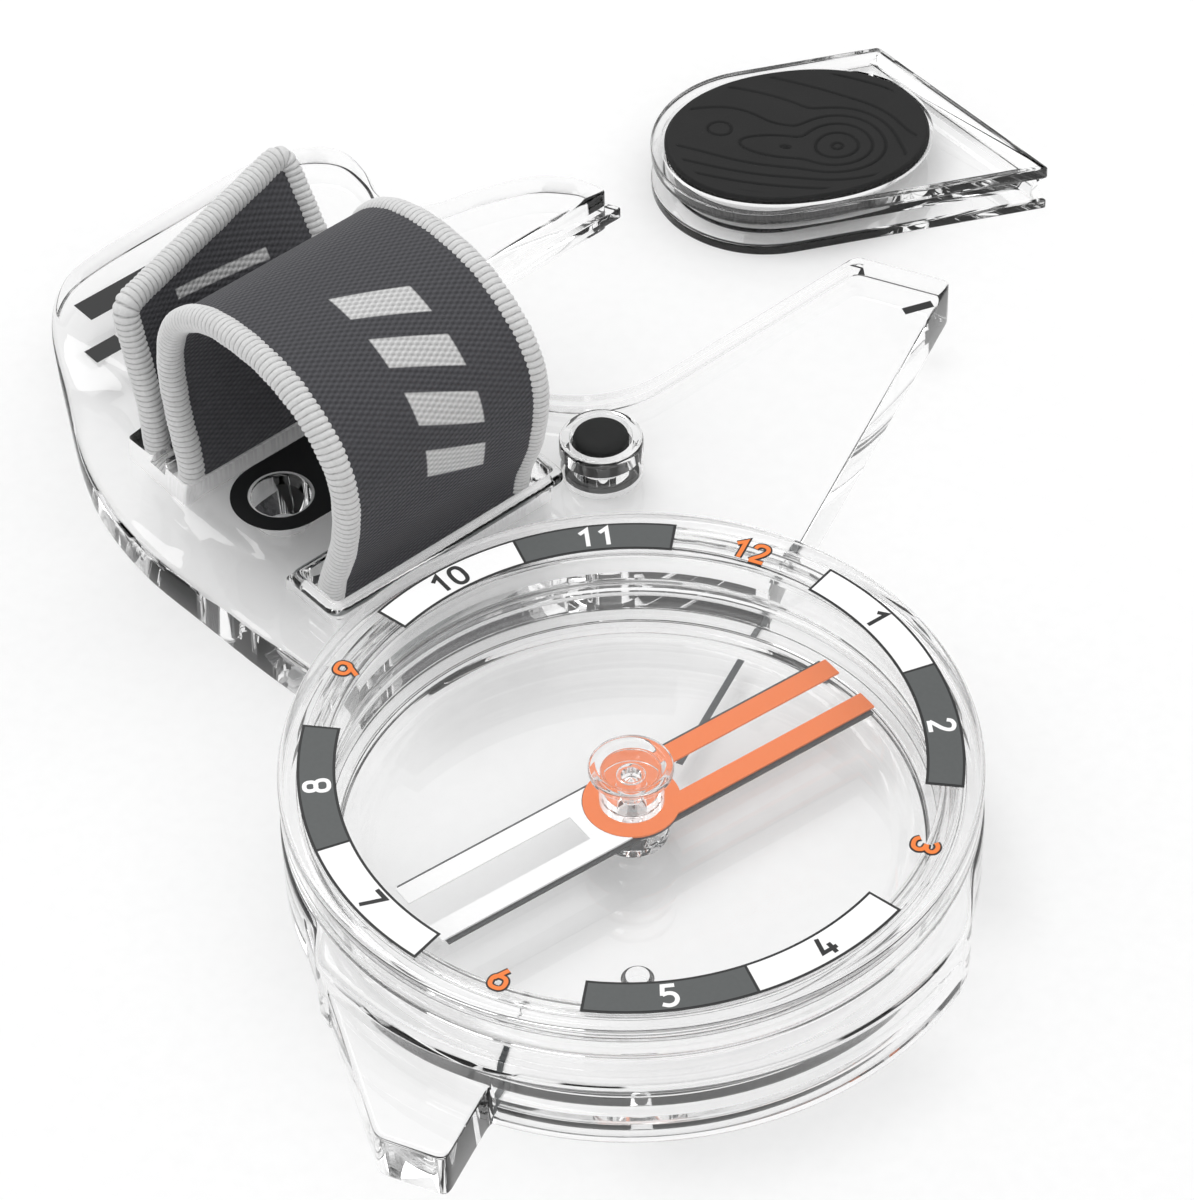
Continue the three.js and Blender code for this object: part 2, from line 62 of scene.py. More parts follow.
# ---- Studio: a white paper floor under a pale sky of soft boxes, with grey gaps between them ----
# The gaps are what give clear acrylic its dark edges, as black cards do round a glass on a table.
def linear(colour):
    """A hex sRGB colour as linear light: a straight part near black, then a power of 2.4."""
    shares = np.array([int(colour[i:i + 2], 16) for i in (1, 3, 5)]) / 255
    bright = ((shares + 0.055) / 1.055) ** 2.4
    return (*np.where(shares <= 0.04045, shares / 12.92, bright).tolist(), 1.0)


def add(tree, kind, inputs=(), **settings):
    """Adds a shader node. Each input is given a value, or the output that feeds it."""
    made = tree.nodes.new("ShaderNode" + kind)
    for name, value in settings.items():
        setattr(made, name, value)
    for socket, value in dict(inputs).items():
        if isinstance(value, bpy.types.NodeSocket):
            tree.links.new(value, made.inputs[socket])
        else:
            made.inputs[socket].default_value = value
    return made


def finish_named(name):
    """An empty material and its node tree."""
    material = bpy.data.materials.new(name)
    material.use_nodes = True
    material.node_tree.nodes.clear()
    return material, material.node_tree


world = bpy.data.worlds.new("studio")
scene.world = world
world.use_nodes = True
sky = world.node_tree
sky.nodes.clear()
direction = add(sky, "SeparateXYZ", {"Vector": add(sky, "TexCoord").outputs["Generated"]})
height_glow = add(sky, "ValToRGB", {"Fac": direction.outputs["Z"]})
ramp = height_glow.color_ramp
ramp.elements[0].position, ramp.elements[0].color = 0.02, linear("#B4B4B4")
ramp.elements[1].position, ramp.elements[1].color = 0.42, linear("#FFFFFF")
bearing = add(sky, "Math", {0: direction.outputs["Y"], 1: direction.outputs["X"]}, operation="ARCTAN2")
boxes = add(sky, "Math", {0: add(sky, "Math", {
    0: bearing.outputs[0], 1: 4.0, 2: 0.9}, operation="MULTIPLY_ADD").outputs[0]}, operation="SINE")
low_part = add(sky, "MapRange", {
    "Value": direction.outputs["Z"], "From Min": 0.62, "From Max": 0.45}, interpolation_type="SMOOTHSTEP")
gap = add(sky, "MapRange", {
    "Value": boxes.outputs[0], "From Min": 0.68, "From Max": 0.84}, interpolation_type="SMOOTHSTEP")
gap_here = add(sky, "Math", {0: gap.outputs[0], 1: low_part.outputs[0]}, operation="MULTIPLY")
with_gaps = add(sky, "Mix", {
    "Factor": gap_here.outputs[0], 6: height_glow.outputs["Color"], 7: linear("#2A2A2A")}, data_type="RGBA")
seen = add(sky, "LightPath").outputs["Is Camera Ray"]
shown = add(sky, "Mix", {"Factor": seen, 6: with_gaps.outputs[2], 7: linear("#FAFAFA")}, data_type="RGBA")
sky_light = add(sky, "Background", {"Color": shown.outputs[2], "Strength": 1.0})
add(sky, "OutputWorld", {"Surface": sky_light.outputs[0]})

key = bpy.data.objects.new("key_light", bpy.data.lights.new("key_light", "AREA"))
scene.collection.objects.link(key)
key.data.shape = "DISK"
key.data.size = 0.35
key.data.energy = 1.0
key.location = (-0.30, 0.20, 0.62)
key.rotation_euler = (Vector((-0.01, 0.02, 0)) - key.location).to_track_quat("-Z", "Y").to_euler()

# Uncoated paper: matt and white, with a grain of about a millimetre that barely shows.
paper, tree = finish_named("matt_white_paper")
grain = add(tree, "TexNoise", {
    "Vector": add(tree, "TexCoord").outputs["Object"], "Scale": 900, "Detail": 3})
paper_shade = add(tree, "Mix", {
    "Factor": grain.outputs["Fac"], 6: linear("#F6F6F6"), 7: linear("#FBFBFB")}, data_type="RGBA")
surface = add(tree, "BsdfPrincipled", {"Base Color": paper_shade.outputs[2], "Roughness": 0.9})
add(tree, "OutputMaterial", {"Surface": surface.outputs[0]})

FLOOR_HALF = 2.5
FLOOR_DROP = 0.0001
corners = [(x * FLOOR_HALF, y * FLOOR_HALF, -FLOOR_DROP) for x, y in ((-1, -1), (1, -1), (1, 1), (-1, 1))]
floor_mesh = bpy.data.meshes.new("floor")
floor_mesh.from_pydata(corners, [], [(0, 1, 2, 3)])
floor = bpy.data.objects.new("floor", floor_mesh)
scene.collection.objects.link(floor)
floor.data.materials.append(paper)

scene.view_settings.view_transform = "Standard"
scene.cycles.max_bounces = 24
scene.cycles.transmission_bounces = 24
scene.cycles.transparent_max_bounces = 24


# ---- Baseplate: one clear moulding of cast acrylic (PMMA), 4 mm thick ----
# A forked tail, a pointed nose and a raised collar for the capsule, with slots for the strap.
# Its edges are flame polished, so they are round and glossy.
MM = 0.001
STRAP_ANGLE = math.radians(64.5)
ALONG = np.array([math.cos(STRAP_ANGLE), math.sin(STRAP_ANGLE)])
ACROSS = np.array([-ALONG[1], ALONG[0]])


def strap_plan(along, across):
    """Plan points: so far along the strap's direction, plus so far across it."""
    return np.asarray(along, float)[..., None] * ALONG + np.asarray(across, float)[..., None] * ACROSS


def arc(centre, radius, start, end, count):
    """Plan points on a circle, centre plus radius times cosine and sine, from start to end degrees."""
    angle = np.radians(np.linspace(start, end, count))
    return np.asarray(centre) + radius * np.stack([np.cos(angle), np.sin(angle)], 1)


def smoothstep(value, low, high):
    """0 below low, 1 above high, and 3t^2 - 2t^3 between."""
    t = np.clip((value - low) / (high - low), 0, 1)
    return t * t * (3 - 2 * t)


def through(points, count):
    """A Catmull-Rom spline through points, each span a cubic of its four nearest points."""
    points = np.asarray(points, float)
    ends = np.vstack([2 * points[0] - points[1], points, 2 * points[-1] - points[-2]])
    at = np.linspace(0, len(points) - 1, count)
    span = np.minimum(at.astype(int), len(points) - 2)
    t = (at - span)[:, None]
    a, b, c, d = (ends[span + k] for k in range(4))
    return b + 0.5 * t * (c - a + t * (2 * a - 5 * b + 4 * c - d + t * (3 * (b - c) + d - a)))


def run_along(line):
    """The distance to each point of a line: the sum of the chords before it."""
    return np.concatenate([[0], np.cumsum(np.linalg.norm(np.diff(line, axis=0), axis=1))])


def walked(line, step, closed):
    """The same line with its points evenly spaced, at the fractions of its length."""
    line = np.vstack([line, line[:1]]) if closed else line
    length = run_along(line)
    count = max(4, int(round(length[-1] / step)))
    at = length[-1] * np.arange(count if closed else count + 1) / count
    return np.stack([np.interp(at, length, line[:, k]) for k in range(line.shape[1])], 1)


def eased(outline, reach, step=0.3):
    """A closed outline, anticlockwise, each point the weighted average of its neighbours within reach."""
    x, y = outline.T
    if np.sum(x * np.roll(y, -1) - y * np.roll(x, -1)) < 0:
        outline = outline[::-1]
    even = walked(outline, step, True)
    wide = max(1, int(round(reach / step)))
    weight = np.hanning(2 * wide + 3)[1:-1]
    ring = np.vstack([even[-wide:], even, even[:wide]])
    return np.stack([np.convolve(ring[:, k], weight / weight.sum(), "valid") for k in (0, 1)], 1)


def put_in(name, points, faces):
    """A new object whose mesh has these points, given in millimetres, and these faces."""
    mesh = bpy.data.meshes.new(name)
    mesh.from_pydata((np.asarray(points).reshape(-1, 3) * MM).tolist(), [], faces)
    piece = bpy.data.objects.new(name, mesh)
    scene.collection.objects.link(piece)
    return piece


def quads(rows, columns, rows_join=True, columns_join=False):
    """The four-sided faces of a grid, joined to itself past its last row or column where asked."""
    i, j = np.meshgrid(
        np.arange(rows if rows_join else rows - 1), np.arange(columns if columns_join else columns - 1),
        indexing="ij")
    ahead, above = (i + 1) % rows, (j + 1) % columns
    corners = [i * columns + j, ahead * columns + j, ahead * columns + above, i * columns + above]
    return np.stack(corners, -1).reshape(-1, 4).tolist()


def outwards(outline):
    """Unit normals of an anticlockwise outline: the chord between both neighbours, a quarter turn right."""
    ahead = np.roll(outline, -1, 0) - np.roll(outline, 1, 0)
    return np.stack([ahead[:, 1], -ahead[:, 0]], 1) / np.linalg.norm(ahead, axis=1)[:, None]


def end_faces(rows, columns):
    """The two flat ends of a grid whose rows go round: its first column, and its last."""
    around = np.arange(rows) * columns
    return [around[::-1].tolist(), (around + columns - 1).tolist()]


def walled(name, outline, outsets, heights):
    """A closed solid: the outline is pushed outwards by each outset at each height, with flat ends.

    Outsets and heights are one side profile, or one for each point of the anticlockwise outline."""
    outsets, heights = np.broadcast_arrays(outsets, heights)
    shape = (len(outline), outsets.shape[-1])
    outsets, heights = (np.broadcast_to(values, shape)[..., None] for values in (outsets, heights))
    points = np.concatenate([outline[:, None] + outwards(outline)[:, None] * outsets, heights], 2)
    return put_in(name, points, quads(*shape) + end_faces(*shape))


def upright(name, outline, bottom, top, outset=0.0):
    """A closed solid with straight walls between two heights."""
    return walled(name, outline, np.full(2, outset), np.array([bottom, top]))


def edged(bottom, top, bottom_round, top_round, steps=5):
    """A side profile as (outsets, heights): quarter circles at the bottom and the top edge."""
    turn = np.linspace(0, math.pi / 2, steps)
    outsets = np.concatenate([bottom_round * (np.sin(turn) - 1), top_round * (np.cos(turn) - 1)])
    heights = np.concatenate([
        bottom + bottom_round * (1 - np.cos(turn)), top - top_round * (1 - np.sin(turn))])
    return outsets, heights


def worked(base, operation, tools):
    """Joins the tools to the base or cuts them from it, one by one, and then removes the tools."""
    for tool in tools:
        step = base.modifiers.new(operation, "BOOLEAN")
        step.operation, step.solver, step.object = operation, "MANIFOLD", tool
    shaped = bpy.data.meshes.new_from_object(base.evaluated_get(bpy.context.evaluated_depsgraph_get()))
    base.modifiers.clear()
    base.data = shaped
    for tool in tools:
        bpy.data.objects.remove(tool)


LEVEL_FROM = 0.9999


def shaded(piece, material, crease=38):
    """Curved walls shade smoothly, level faces stay flat, and edges past the crease angle stay sharp."""
    mesh = piece.data
    mesh.shade_smooth()
    mesh.set_sharp_from_angle(angle=math.radians(crease))
    normals = np.zeros(len(mesh.polygons) * 3)
    mesh.polygons.foreach_get("normal", normals)
    mesh.polygons.foreach_set("use_smooth", np.abs(normals.reshape(-1, 3)[:, 2]) < LEVEL_FROM)
    mesh.materials.clear()
    mesh.materials.append(material)


# Clear cast acrylic: no colour, a polished skin and a bend of light of 1.49. Lamp and floor light pass
# straight through it, so that it throws the faint shadow of a thin clear sheet.
def clear_finish(name, ior, roughness, shadow):
    """A see-through finish: glass to the eye, and a tinted window to lamp light and floor light."""
    material, tree = finish_named(name)
    glass = add(tree, "BsdfPrincipled", {
        "Base Color": (1.0, 1.0, 1.0, 1.0), "Roughness": roughness, "IOR": ior, "Transmission Weight": 1.0})
    window = add(tree, "BsdfTransparent", {"Color": linear(shadow)})
    path = add(tree, "LightPath")
    for_lamps = add(tree, "MixShader", {
        0: path.outputs["Is Shadow Ray"], 1: glass.outputs[0], 2: window.outputs[0]})
    for_floor = add(tree, "MixShader", {
        0: path.outputs["Is Diffuse Ray"], 1: for_lamps.outputs[0], 2: window.outputs[0]})
    add(tree, "OutputMaterial", {"Surface": for_floor.outputs[0]})
    return material


cast_acrylic = clear_finish("cast_acrylic", 1.49, 0.0, "#FEFEFE")

PLATE_TOP = 4.0
COLLAR_TOP = 5.8
MAP_EDGE_X = 0.8
REAR_Y = 58.3
NOSE_Y = -31.3
BACK_RADIUS, FRONT_RADIUS = 23.25, 24.75
CUTOUT_MIDDLE = 40.45
CUTOUT_END = 30.2
CUTOUT_HALF = 9.15


def at_rear(across):
    """Plan point where a line along the strap's direction meets the square rear end."""
    return strap_plan((REAR_Y - ACROSS[1] * across) / ALONG[1], across)


def cutout_wall(half):
    """The cutout's wall from the arm, round its closed end, to the horn."""
    side = math.degrees(STRAP_ANGLE) - 90
    return np.vstack([
        at_rear(CUTOUT_MIDDLE - half), arc(strap_plan(CUTOUT_END, CUTOUT_MIDDLE), half, side, side - 180, 40),
        at_rear(CUTOUT_MIDDLE + half)])


def ring_radius(angle):
    """The round wall's radius: the front one round the nose, easing to the back one at the sides."""
    at_front = smoothstep(angle, -130, -120) - smoothstep(angle, -8, 8)
    return BACK_RADIUS + (FRONT_RADIUS - BACK_RADIUS) * at_front


def on_circle(degrees):
    """Plan directions: the cosine and sine of each angle."""
    return np.stack([np.cos(np.radians(degrees)), np.sin(np.radians(degrees))], 1)


lobe = through([
    [-36.6, 54.6], [-39.4, 51.4], [-42.6, 50.9], [-45.6, 53.6], [-48.8, 55.0], [-52.4, 53.2],
    [-55.0, 49.0], [-57.4, 43.6], [-60.2, 37.0], [-60.9, 33.0], [-59.2, 28.2], [-55.3, 22.9],
    [-51.2, 17.6], [-47.2, 13.8], [-42.3, 10.6], [-36.7, 8.1], [-30.9, 5.6], [-25.6, 3.6]], 160)
horn = through([[-29.9, REAR_Y + 0.5], [-33.2, 57.7], [-36.6, 54.6]], 12)
front = np.linspace(-88, 88, 120)
front_wall = on_circle(front) * ring_radius(front)[:, None]
plate_outline = eased(np.vstack([
    [MAP_EDGE_X, NOSE_Y], front_wall, [MAP_EDGE_X, REAR_Y], cutout_wall(CUTOUT_HALF), horn[:-1], lobe,
    arc((0, 0), BACK_RADIUS, 173, 222.4, 40), [-4.0, NOSE_Y]]), 0.8)

# The edges are rounded. The lobe's near edge falls away in a broad soft shoulder under the thumb, so
# each point of the outline has its own mix of the round fall and the shoulder's fall.
EDGE_ROUND, UNDER_ROUND = 0.35, 0.3
SHOULDER_REACH, SHOULDER_DROP = 5.3, 1.15
FALL_STEPS, UNDER_STEPS = 14, 5
x, y = plate_outline.T
shoulder = (smoothstep(-x, 28, 34) * smoothstep(-y, -30, -21) * (y > 2))[:, None]
lowered = shoulder * smoothstep(-x, 33, 40)[:, None]
quarter = np.linspace(0, math.pi / 2, FALL_STEPS)
shoulder_out, shoulder_up = through([
    [0, 0], [0.05, 0.28], [0.15, 0.42], [0.5, 0.55], [0.8, 0.68], [0.93, 0.9], [1, 1]], FALL_STEPS).T
mixed_out = (1 - np.cos(quarter)) * (1 - shoulder) + shoulder_out * shoulder
mixed_up = np.sin(quarter) * (1 - shoulder) + shoulder_up * shoulder
under = np.linspace(0, math.pi / 2, UNDER_STEPS)
under_shape = (len(x), UNDER_STEPS)
under_outset = np.broadcast_to(UNDER_ROUND * (np.sin(under) - 1), under_shape)
under_height = np.broadcast_to(UNDER_ROUND * (1 - np.cos(under)), under_shape)
reach = EDGE_ROUND + SHOULDER_REACH * shoulder
wall_top = PLATE_TOP - EDGE_ROUND - SHOULDER_DROP * lowered
baseplate = walled(
    "baseplate_moulding", plate_outline,
    np.hstack([under_outset, -reach * mixed_out]),
    np.hstack([under_height, wall_top + (PLATE_TOP - wall_top) * mixed_up]))

COLLAR_OUT = 0.15
collar_angles = np.linspace(-180, 180, 301)[:-1]
collar_outline = on_circle(collar_angles) * (ring_radius(collar_angles) + COLLAR_OUT)[:, None]


def rectangle(start, end, near, far, reach):
    """A round-cornered rectangle in the strap's directions."""
    return eased(strap_plan([start, end, end, start], [near, near, far, far]), reach, 0.15)


def disc_outline(centre, radius, count=64):
    """A circle in plan, anticlockwise."""
    return arc(centre, radius, 0, 360, count + 1)[:-1]


SLOT_START, SLOT_END = -2.7, 17.0
FRONT_SLOT, REAR_SLOT, TAIL_SLOT = (28.1, 32.0), (45.4, 48.1), (49.6, 52.6)
SLOT_RIM = 0.8
RIM_TOP = 4.8
PLUG_AT = (-16.0, 31.5)
STENCIL_AT = (-35.3, 18.5)
rail_outer, rail_inner = cutout_wall(CUTOUT_HALF + 0.8), cutout_wall(CUTOUT_HALF - 1.0)[::-1]
worked(baseplate, "UNION", [
    walled("collar", collar_outline, *edged(0, COLLAR_TOP, 0.3, 0.8, 8)),
    walled("slot_rim", rectangle(
        SLOT_START - SLOT_RIM, SLOT_END + SLOT_RIM, FRONT_SLOT[0] - SLOT_RIM, FRONT_SLOT[1] + SLOT_RIM, 1.6),
        *edged(0.5, RIM_TOP, 0, 0.6)),
    walled("plug_collar", disc_outline(PLUG_AT, 3.05), *edged(0.5, 5.3, 0, 0.35)),
    walled("rail", eased(np.vstack([rail_outer, rail_inner]), 0.2, 0.25), *edged(1.5, 2.5, 0.1, 0.1, 3)),
])


def opening(name, outline, bottom, top, flare):
    """A cutter for a through opening whose upper rim is rounded over by the flare."""
    turn = np.linspace(0, math.pi / 2, 5)
    outsets = np.concatenate([[0], flare * (1 - np.cos(turn)), [flare]])
    heights = np.concatenate([[bottom], top - flare * (1 - np.sin(turn)), [top + 2]])
    return walled(name, outline, outsets, heights)


worked(baseplate, "DIFFERENCE", [
    upright("bore", disc_outline((0, 0), 22.0, 240), 1.0, 9.0),
    upright("foot_bore", disc_outline((0, 0), 20.0, 240), -1.0, 9.0),
    opening("front_slot", rectangle(SLOT_START, SLOT_END, *FRONT_SLOT, 0.8), -1, RIM_TOP, 0.35),
    opening("rear_slot", rectangle(SLOT_START, SLOT_END, *REAR_SLOT, 0.5), -1, PLATE_TOP, 0.6),
    opening("tail_slot", rectangle(SLOT_START, SLOT_END, *TAIL_SLOT, 0.5), -1, PLATE_TOP, 0.4),
    upright("strap_run", rectangle(SLOT_START, SLOT_END, REAR_SLOT[0], TAIL_SLOT[1], 0.5), -1, 2.5),
    upright("anchor_seat", rectangle(SLOT_START, SLOT_END, FRONT_SLOT[0], 34.0, 0.5), -1, 1.7),
    upright("plug_hole", disc_outline(PLUG_AT, 2.3), -1, 9.0),
    upright("plug_seat", disc_outline(PLUG_AT, 3.0), -1, 1.0),
    opening("stencil_hole", disc_outline(STENCIL_AT, 2.15), -1, PLATE_TOP, 0.25),
])
shaded(baseplate, cast_acrylic)
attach(baseplate, "base")
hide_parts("baseplate")


# ---- Printing on the plate: screen-printed ink, a few hundredths of a millimetre thick ----
# On top are a stadium round the stencil hole, two plain bars on the lobe and a tick on the arm.
# Underneath, against the map, are two grey sighting lines beside the capsule.
INK_THICK = 0.03
ON_PLATE = PLATE_TOP + 0.01


def printed(name, outline, bottom, thickness, material, body):
    """A flat patch of ink: the outline raised from bottom by its thickness."""
    patch = upright(name, outline, bottom, bottom + thickness)
    patch.data.materials.append(material)
    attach(patch, body)


# Screen-printing ink: a dense matt film, slightly uneven where the mesh left it thicker.
def ink_finish(name, colour, second, roughness=0.45):
    """Two near shades mixed by a fine noise of 0.3 mm, with the same noise in the surface."""
    material, tree = finish_named(name)
    place = add(tree, "TexCoord").outputs["Object"]
    mottle = add(tree, "TexNoise", {"Vector": place, "Scale": 3300, "Detail": 2})
    shade = add(tree, "Mix", {
        "Factor": mottle.outputs["Fac"], 6: linear(colour), 7: linear(second)}, data_type="RGBA")
    relief = add(tree, "Bump", {"Height": mottle.outputs["Fac"], "Strength": 0.15, "Distance": 0.00002})
    surface = add(tree, "BsdfPrincipled", {
        "Base Color": shade.outputs[2], "Roughness": roughness, "Normal": relief.outputs[0]})
    add(tree, "OutputMaterial", {"Surface": surface.outputs[0]})
    return material


black_ink = ink_finish("screen_ink_black", "#0E0F10", "#161718")
grey_ink = ink_finish("screen_ink_grey", "#4E5151", "#555858")
white_ink = ink_finish("screen_ink_white", "#FAFAFA", "#FFFFFF")
line_ink = ink_finish("screen_ink_line_grey", "#303436", "#3A3E40")
orange_ink = ink_finish("screen_ink_orange", "#F47E2E", "#FA8434")

OVAL_HALF = 3.7
stadium = eased(np.vstack([
    arc((1.5, 39.8), OVAL_HALF, 90, 270, 40), arc((12.0, 39.8), OVAL_HALF, -90, 90, 40)]), 0.2)
oval = upright("oval_print", eased(strap_plan(*stadium.T), 0.2), ON_PLATE, ON_PLATE + INK_THICK)
worked(oval, "DIFFERENCE", [upright("oval_hole", disc_outline(STENCIL_AT, 2.4), 3.0, 5.0)])
oval.data.materials.clear()
oval.data.materials.append(black_ink)
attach(oval, "base")


def straight(start, end, width):
    """Outline of a straight line of even width between two plan points."""
    start, end = np.array(start), np.array(end)
    aside = np.array([start[1] - end[1], end[0] - start[0]])
    aside = aside / np.linalg.norm(aside) * width / 2
    return np.array([start + aside, start - aside, end - aside, end + aside])


for name, start, end, width in (
        ("sight_line_front", (0.15, -24.4), (0.35, -20.2), 0.45),
        ("sight_line_rear", (0.3, 20.2), (0.3, 26.8), 0.45)):
    printed(name, straight(start, end, width), 0.01, 0.02, line_ink, "base")
for name, start, end, width in (
        ("lobe_bar_short", strap_plan(0.1, 60.8), strap_plan(2.9, 60.8), 1.6),
        ("lobe_bar_long", strap_plan(2.6, 65.2), strap_plan(10.4, 65.2), 2.2),
        ("arm_tick", (-1.2, 53.6), (0.45, 55.2), 0.7)):
    printed(name, straight(start, end, width), ON_PLATE, INK_THICK, black_ink, "base")


# ---- Capsule cup: clear acrylic, injection moulded, with a thin floor and a stepped wall ----
# It holds the damping liquid and turns in the plate's bore on its friction ring.
def softened(profile, radius, closed=False, steps=5):
    """A side profile whose corners are short curves, each a parabola that starts radius from the corner."""
    profile = np.asarray(profile, float)
    before, after = np.roll(profile, 1, 0) - profile, np.roll(profile, -1, 0) - profile
    near, far = np.linalg.norm(before, axis=1), np.linalg.norm(after, axis=1)
    cut = np.minimum(radius, 0.4 * np.minimum(near, far))[:, None]
    first, last = profile + before / near[:, None] * cut, profile + after / far[:, None] * cut
    t = np.linspace(0, 1, steps)[None, :, None]
    curves = (1 - t) ** 2 * first[:, None] + 2 * t * (1 - t) * profile[:, None] + t ** 2 * last[:, None]
    lead, tail = profile + (first - profile) * 1.2, profile + (last - profile) * 1.2
    curves = np.concatenate([lead[:, None], curves, tail[:, None]], 1)
    if closed:
        return curves.reshape(-1, 2)
    return np.vstack([profile[:1], curves[1:-1].reshape(-1, 2), profile[-1:]])


def turned(name, profile, centre=(0, 0), sides=180):
    """A solid of revolution: each (radius, height) of the profile goes round the upright axis.

    A profile that starts and ends on the axis closes there in two fans. Any other joins its own start.
    The profile runs so that the solid lies on its left."""
    profile = np.asarray(profile, float)
    on_axis = profile[0, 0] == 0
    rings = profile[1:-1] if on_axis else profile
    angle = np.linspace(0, 2 * math.pi, sides, endpoint=False)[:, None]
    points = np.stack([
        centre[0] + rings[:, 0] * np.cos(angle), centre[1] + rings[:, 0] * np.sin(angle),
        np.broadcast_to(rings[:, 1], (sides, len(rings)))], 2).reshape(-1, 3)
    faces = quads(sides, len(rings), True, not on_axis)
    if on_axis:
        poles = [[centre[0], centre[1], profile[0, 1]], [centre[0], centre[1], profile[-1, 1]]]
        points = np.vstack([points, poles])
        here = np.arange(sides) * len(rings)
        ahead = np.roll(here, -1)
        low, high = np.full(sides, sides * len(rings)), np.full(sides, sides * len(rings) + 1)
        faces += np.stack([low, ahead, here], 1).tolist()
        faces += np.stack([high, here + len(rings) - 1, ahead + len(rings) - 1], 1).tolist()
    return put_in(name, points, faces)


cup = turned("capsule_cup_moulding", softened([
    [0, 0], [19.7, 0], [19.7, 1.3], [21.6, 1.3], [21.6, 3.05], [21.05, 3.05], [21.05, 4.35], [21.6, 4.35],
    [21.6, 7.1], [20.75, 7.1], [20.75, 8.1], [20.4, 8.1], [20.4, 2.2], [18.6, 2.2], [17.6, 1.6],
    [0, 1.6]], 0.25))
worked(cup, "DIFFERENCE", [upright("filling_hole", disc_outline((5.4, -11.7), 1.1, 40), -1.0, 3.0)])
shaded(cup, cast_acrylic)
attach(cup, "capsule")
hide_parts("capsule_cup")
printed("capsule_sight_line", straight((0.5, 6.8), (0.65, 17.5), 0.5), 1.62, 0.02, line_ink, "capsule")


# ---- Capsule lid: clear acrylic, injection moulded as a disc with a skirt round it ----
# It is pressed over the cup's wall and glued, and its flat underside closes in the liquid.
lid = turned("capsule_lid_moulding", softened([
    [0, 8.4], [20.4, 8.4], [21.9, 8.4], [21.9, 6.1], [23.3, 6.1], [23.3, 9.4], [0, 9.4]], 0.35))
shaded(lid, cast_acrylic)
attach(lid, "capsule")
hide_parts("capsule_lid")


# ---- Capsule's small hidden parts: two moulded rings of clear silicone and an acrylic filler plug ----
# One ring seals the lid and the other drags on the plate's bore, so that a setting stays put. The
# plug closes the hole in the floor that the liquid goes in by. The silicone is slightly cloudy.
clear_silicone = clear_finish("clear_silicone", 1.41, 0.05, "#FCFCFC")


def refinish(node, material):
    """Gives a CAD node this material and leaves its shape as it is."""
    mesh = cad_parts[node].data
    mesh.materials.clear()
    mesh.materials.append(material)


refinish("lid_seal_ring", clear_silicone)
refinish("friction_ring", clear_silicone)
refinish("filler_plug", cast_acrylic)


# ---- Dial ring: a clear film printed in black, grey, white and orange ----
# Each hour's block is a twelfth of the ring, outlined, and the quarter hours are orange numbers alone.
DIAL_INNER, DIAL_OUTER = 19.44, 22.0
DIAL_BOTTOM = 9.42


def hour_angle(hour):
    """Degrees anticlockwise from +X of an hour that is counted clockwise from +Y."""
    return 90 - 30 * hour


def joined(name, solids, material):
    """One printed piece of several closed solids, each given as its points and its faces."""
    points, faces, count = [], [], 0
    for solid_points, solid_faces in solids:
        points.append(solid_points.reshape(-1, 3))
        faces += [[count + index for index in face] for face in solid_faces]
        count += len(points[-1])
    piece = put_in(name, np.vstack(points), faces)
    piece.data.materials.append(material)
    return piece


def ring_block(first_hour, last_hour, bottom, inset):
    """A flat piece of the ring between two hours, its two arcs moved inwards by the inset."""
    start, end = hour_angle(last_hour), hour_angle(first_hour)
    outline = np.vstack([
        arc((0, 0), DIAL_OUTER - inset, start, end, 40), arc((0, 0), DIAL_INNER + inset, end, start, 40)])
    points = np.stack([
        np.column_stack([outline, np.full(len(outline), level)]) for level in (bottom, bottom + FILM)], 1)
    return points, quads(len(outline), 2) + end_faces(len(outline), 2)


WHITE_HOURS, GREY_HOURS = (10, 1, 4, 7), (11, 2, 5, 8)
FILM = 0.02
OUTLINE = 0.19
DIAL_MIDDLE = (DIAL_INNER + DIAL_OUTER) / 2
thin = math.degrees(OUTLINE / DIAL_MIDDLE) / 30
frames = joined("dial_block_outlines", [
    ring_block(hour - 0.5, hour + 1.5, DIAL_BOTTOM, 0.0) for hour in WHITE_HOURS], black_ink)
white_blocks = joined("dial_white_blocks", [
    ring_block(hour - 0.5 + thin, hour + 0.5 - thin / 2, DIAL_BOTTOM + FILM, OUTLINE)
    for hour in WHITE_HOURS], white_ink)
grey_blocks = joined("dial_grey_blocks", [
    ring_block(hour - 0.5 + thin / 2, hour + 0.5 - thin, DIAL_BOTTOM + FILM, OUTLINE)
    for hour in GREY_HOURS], grey_ink)

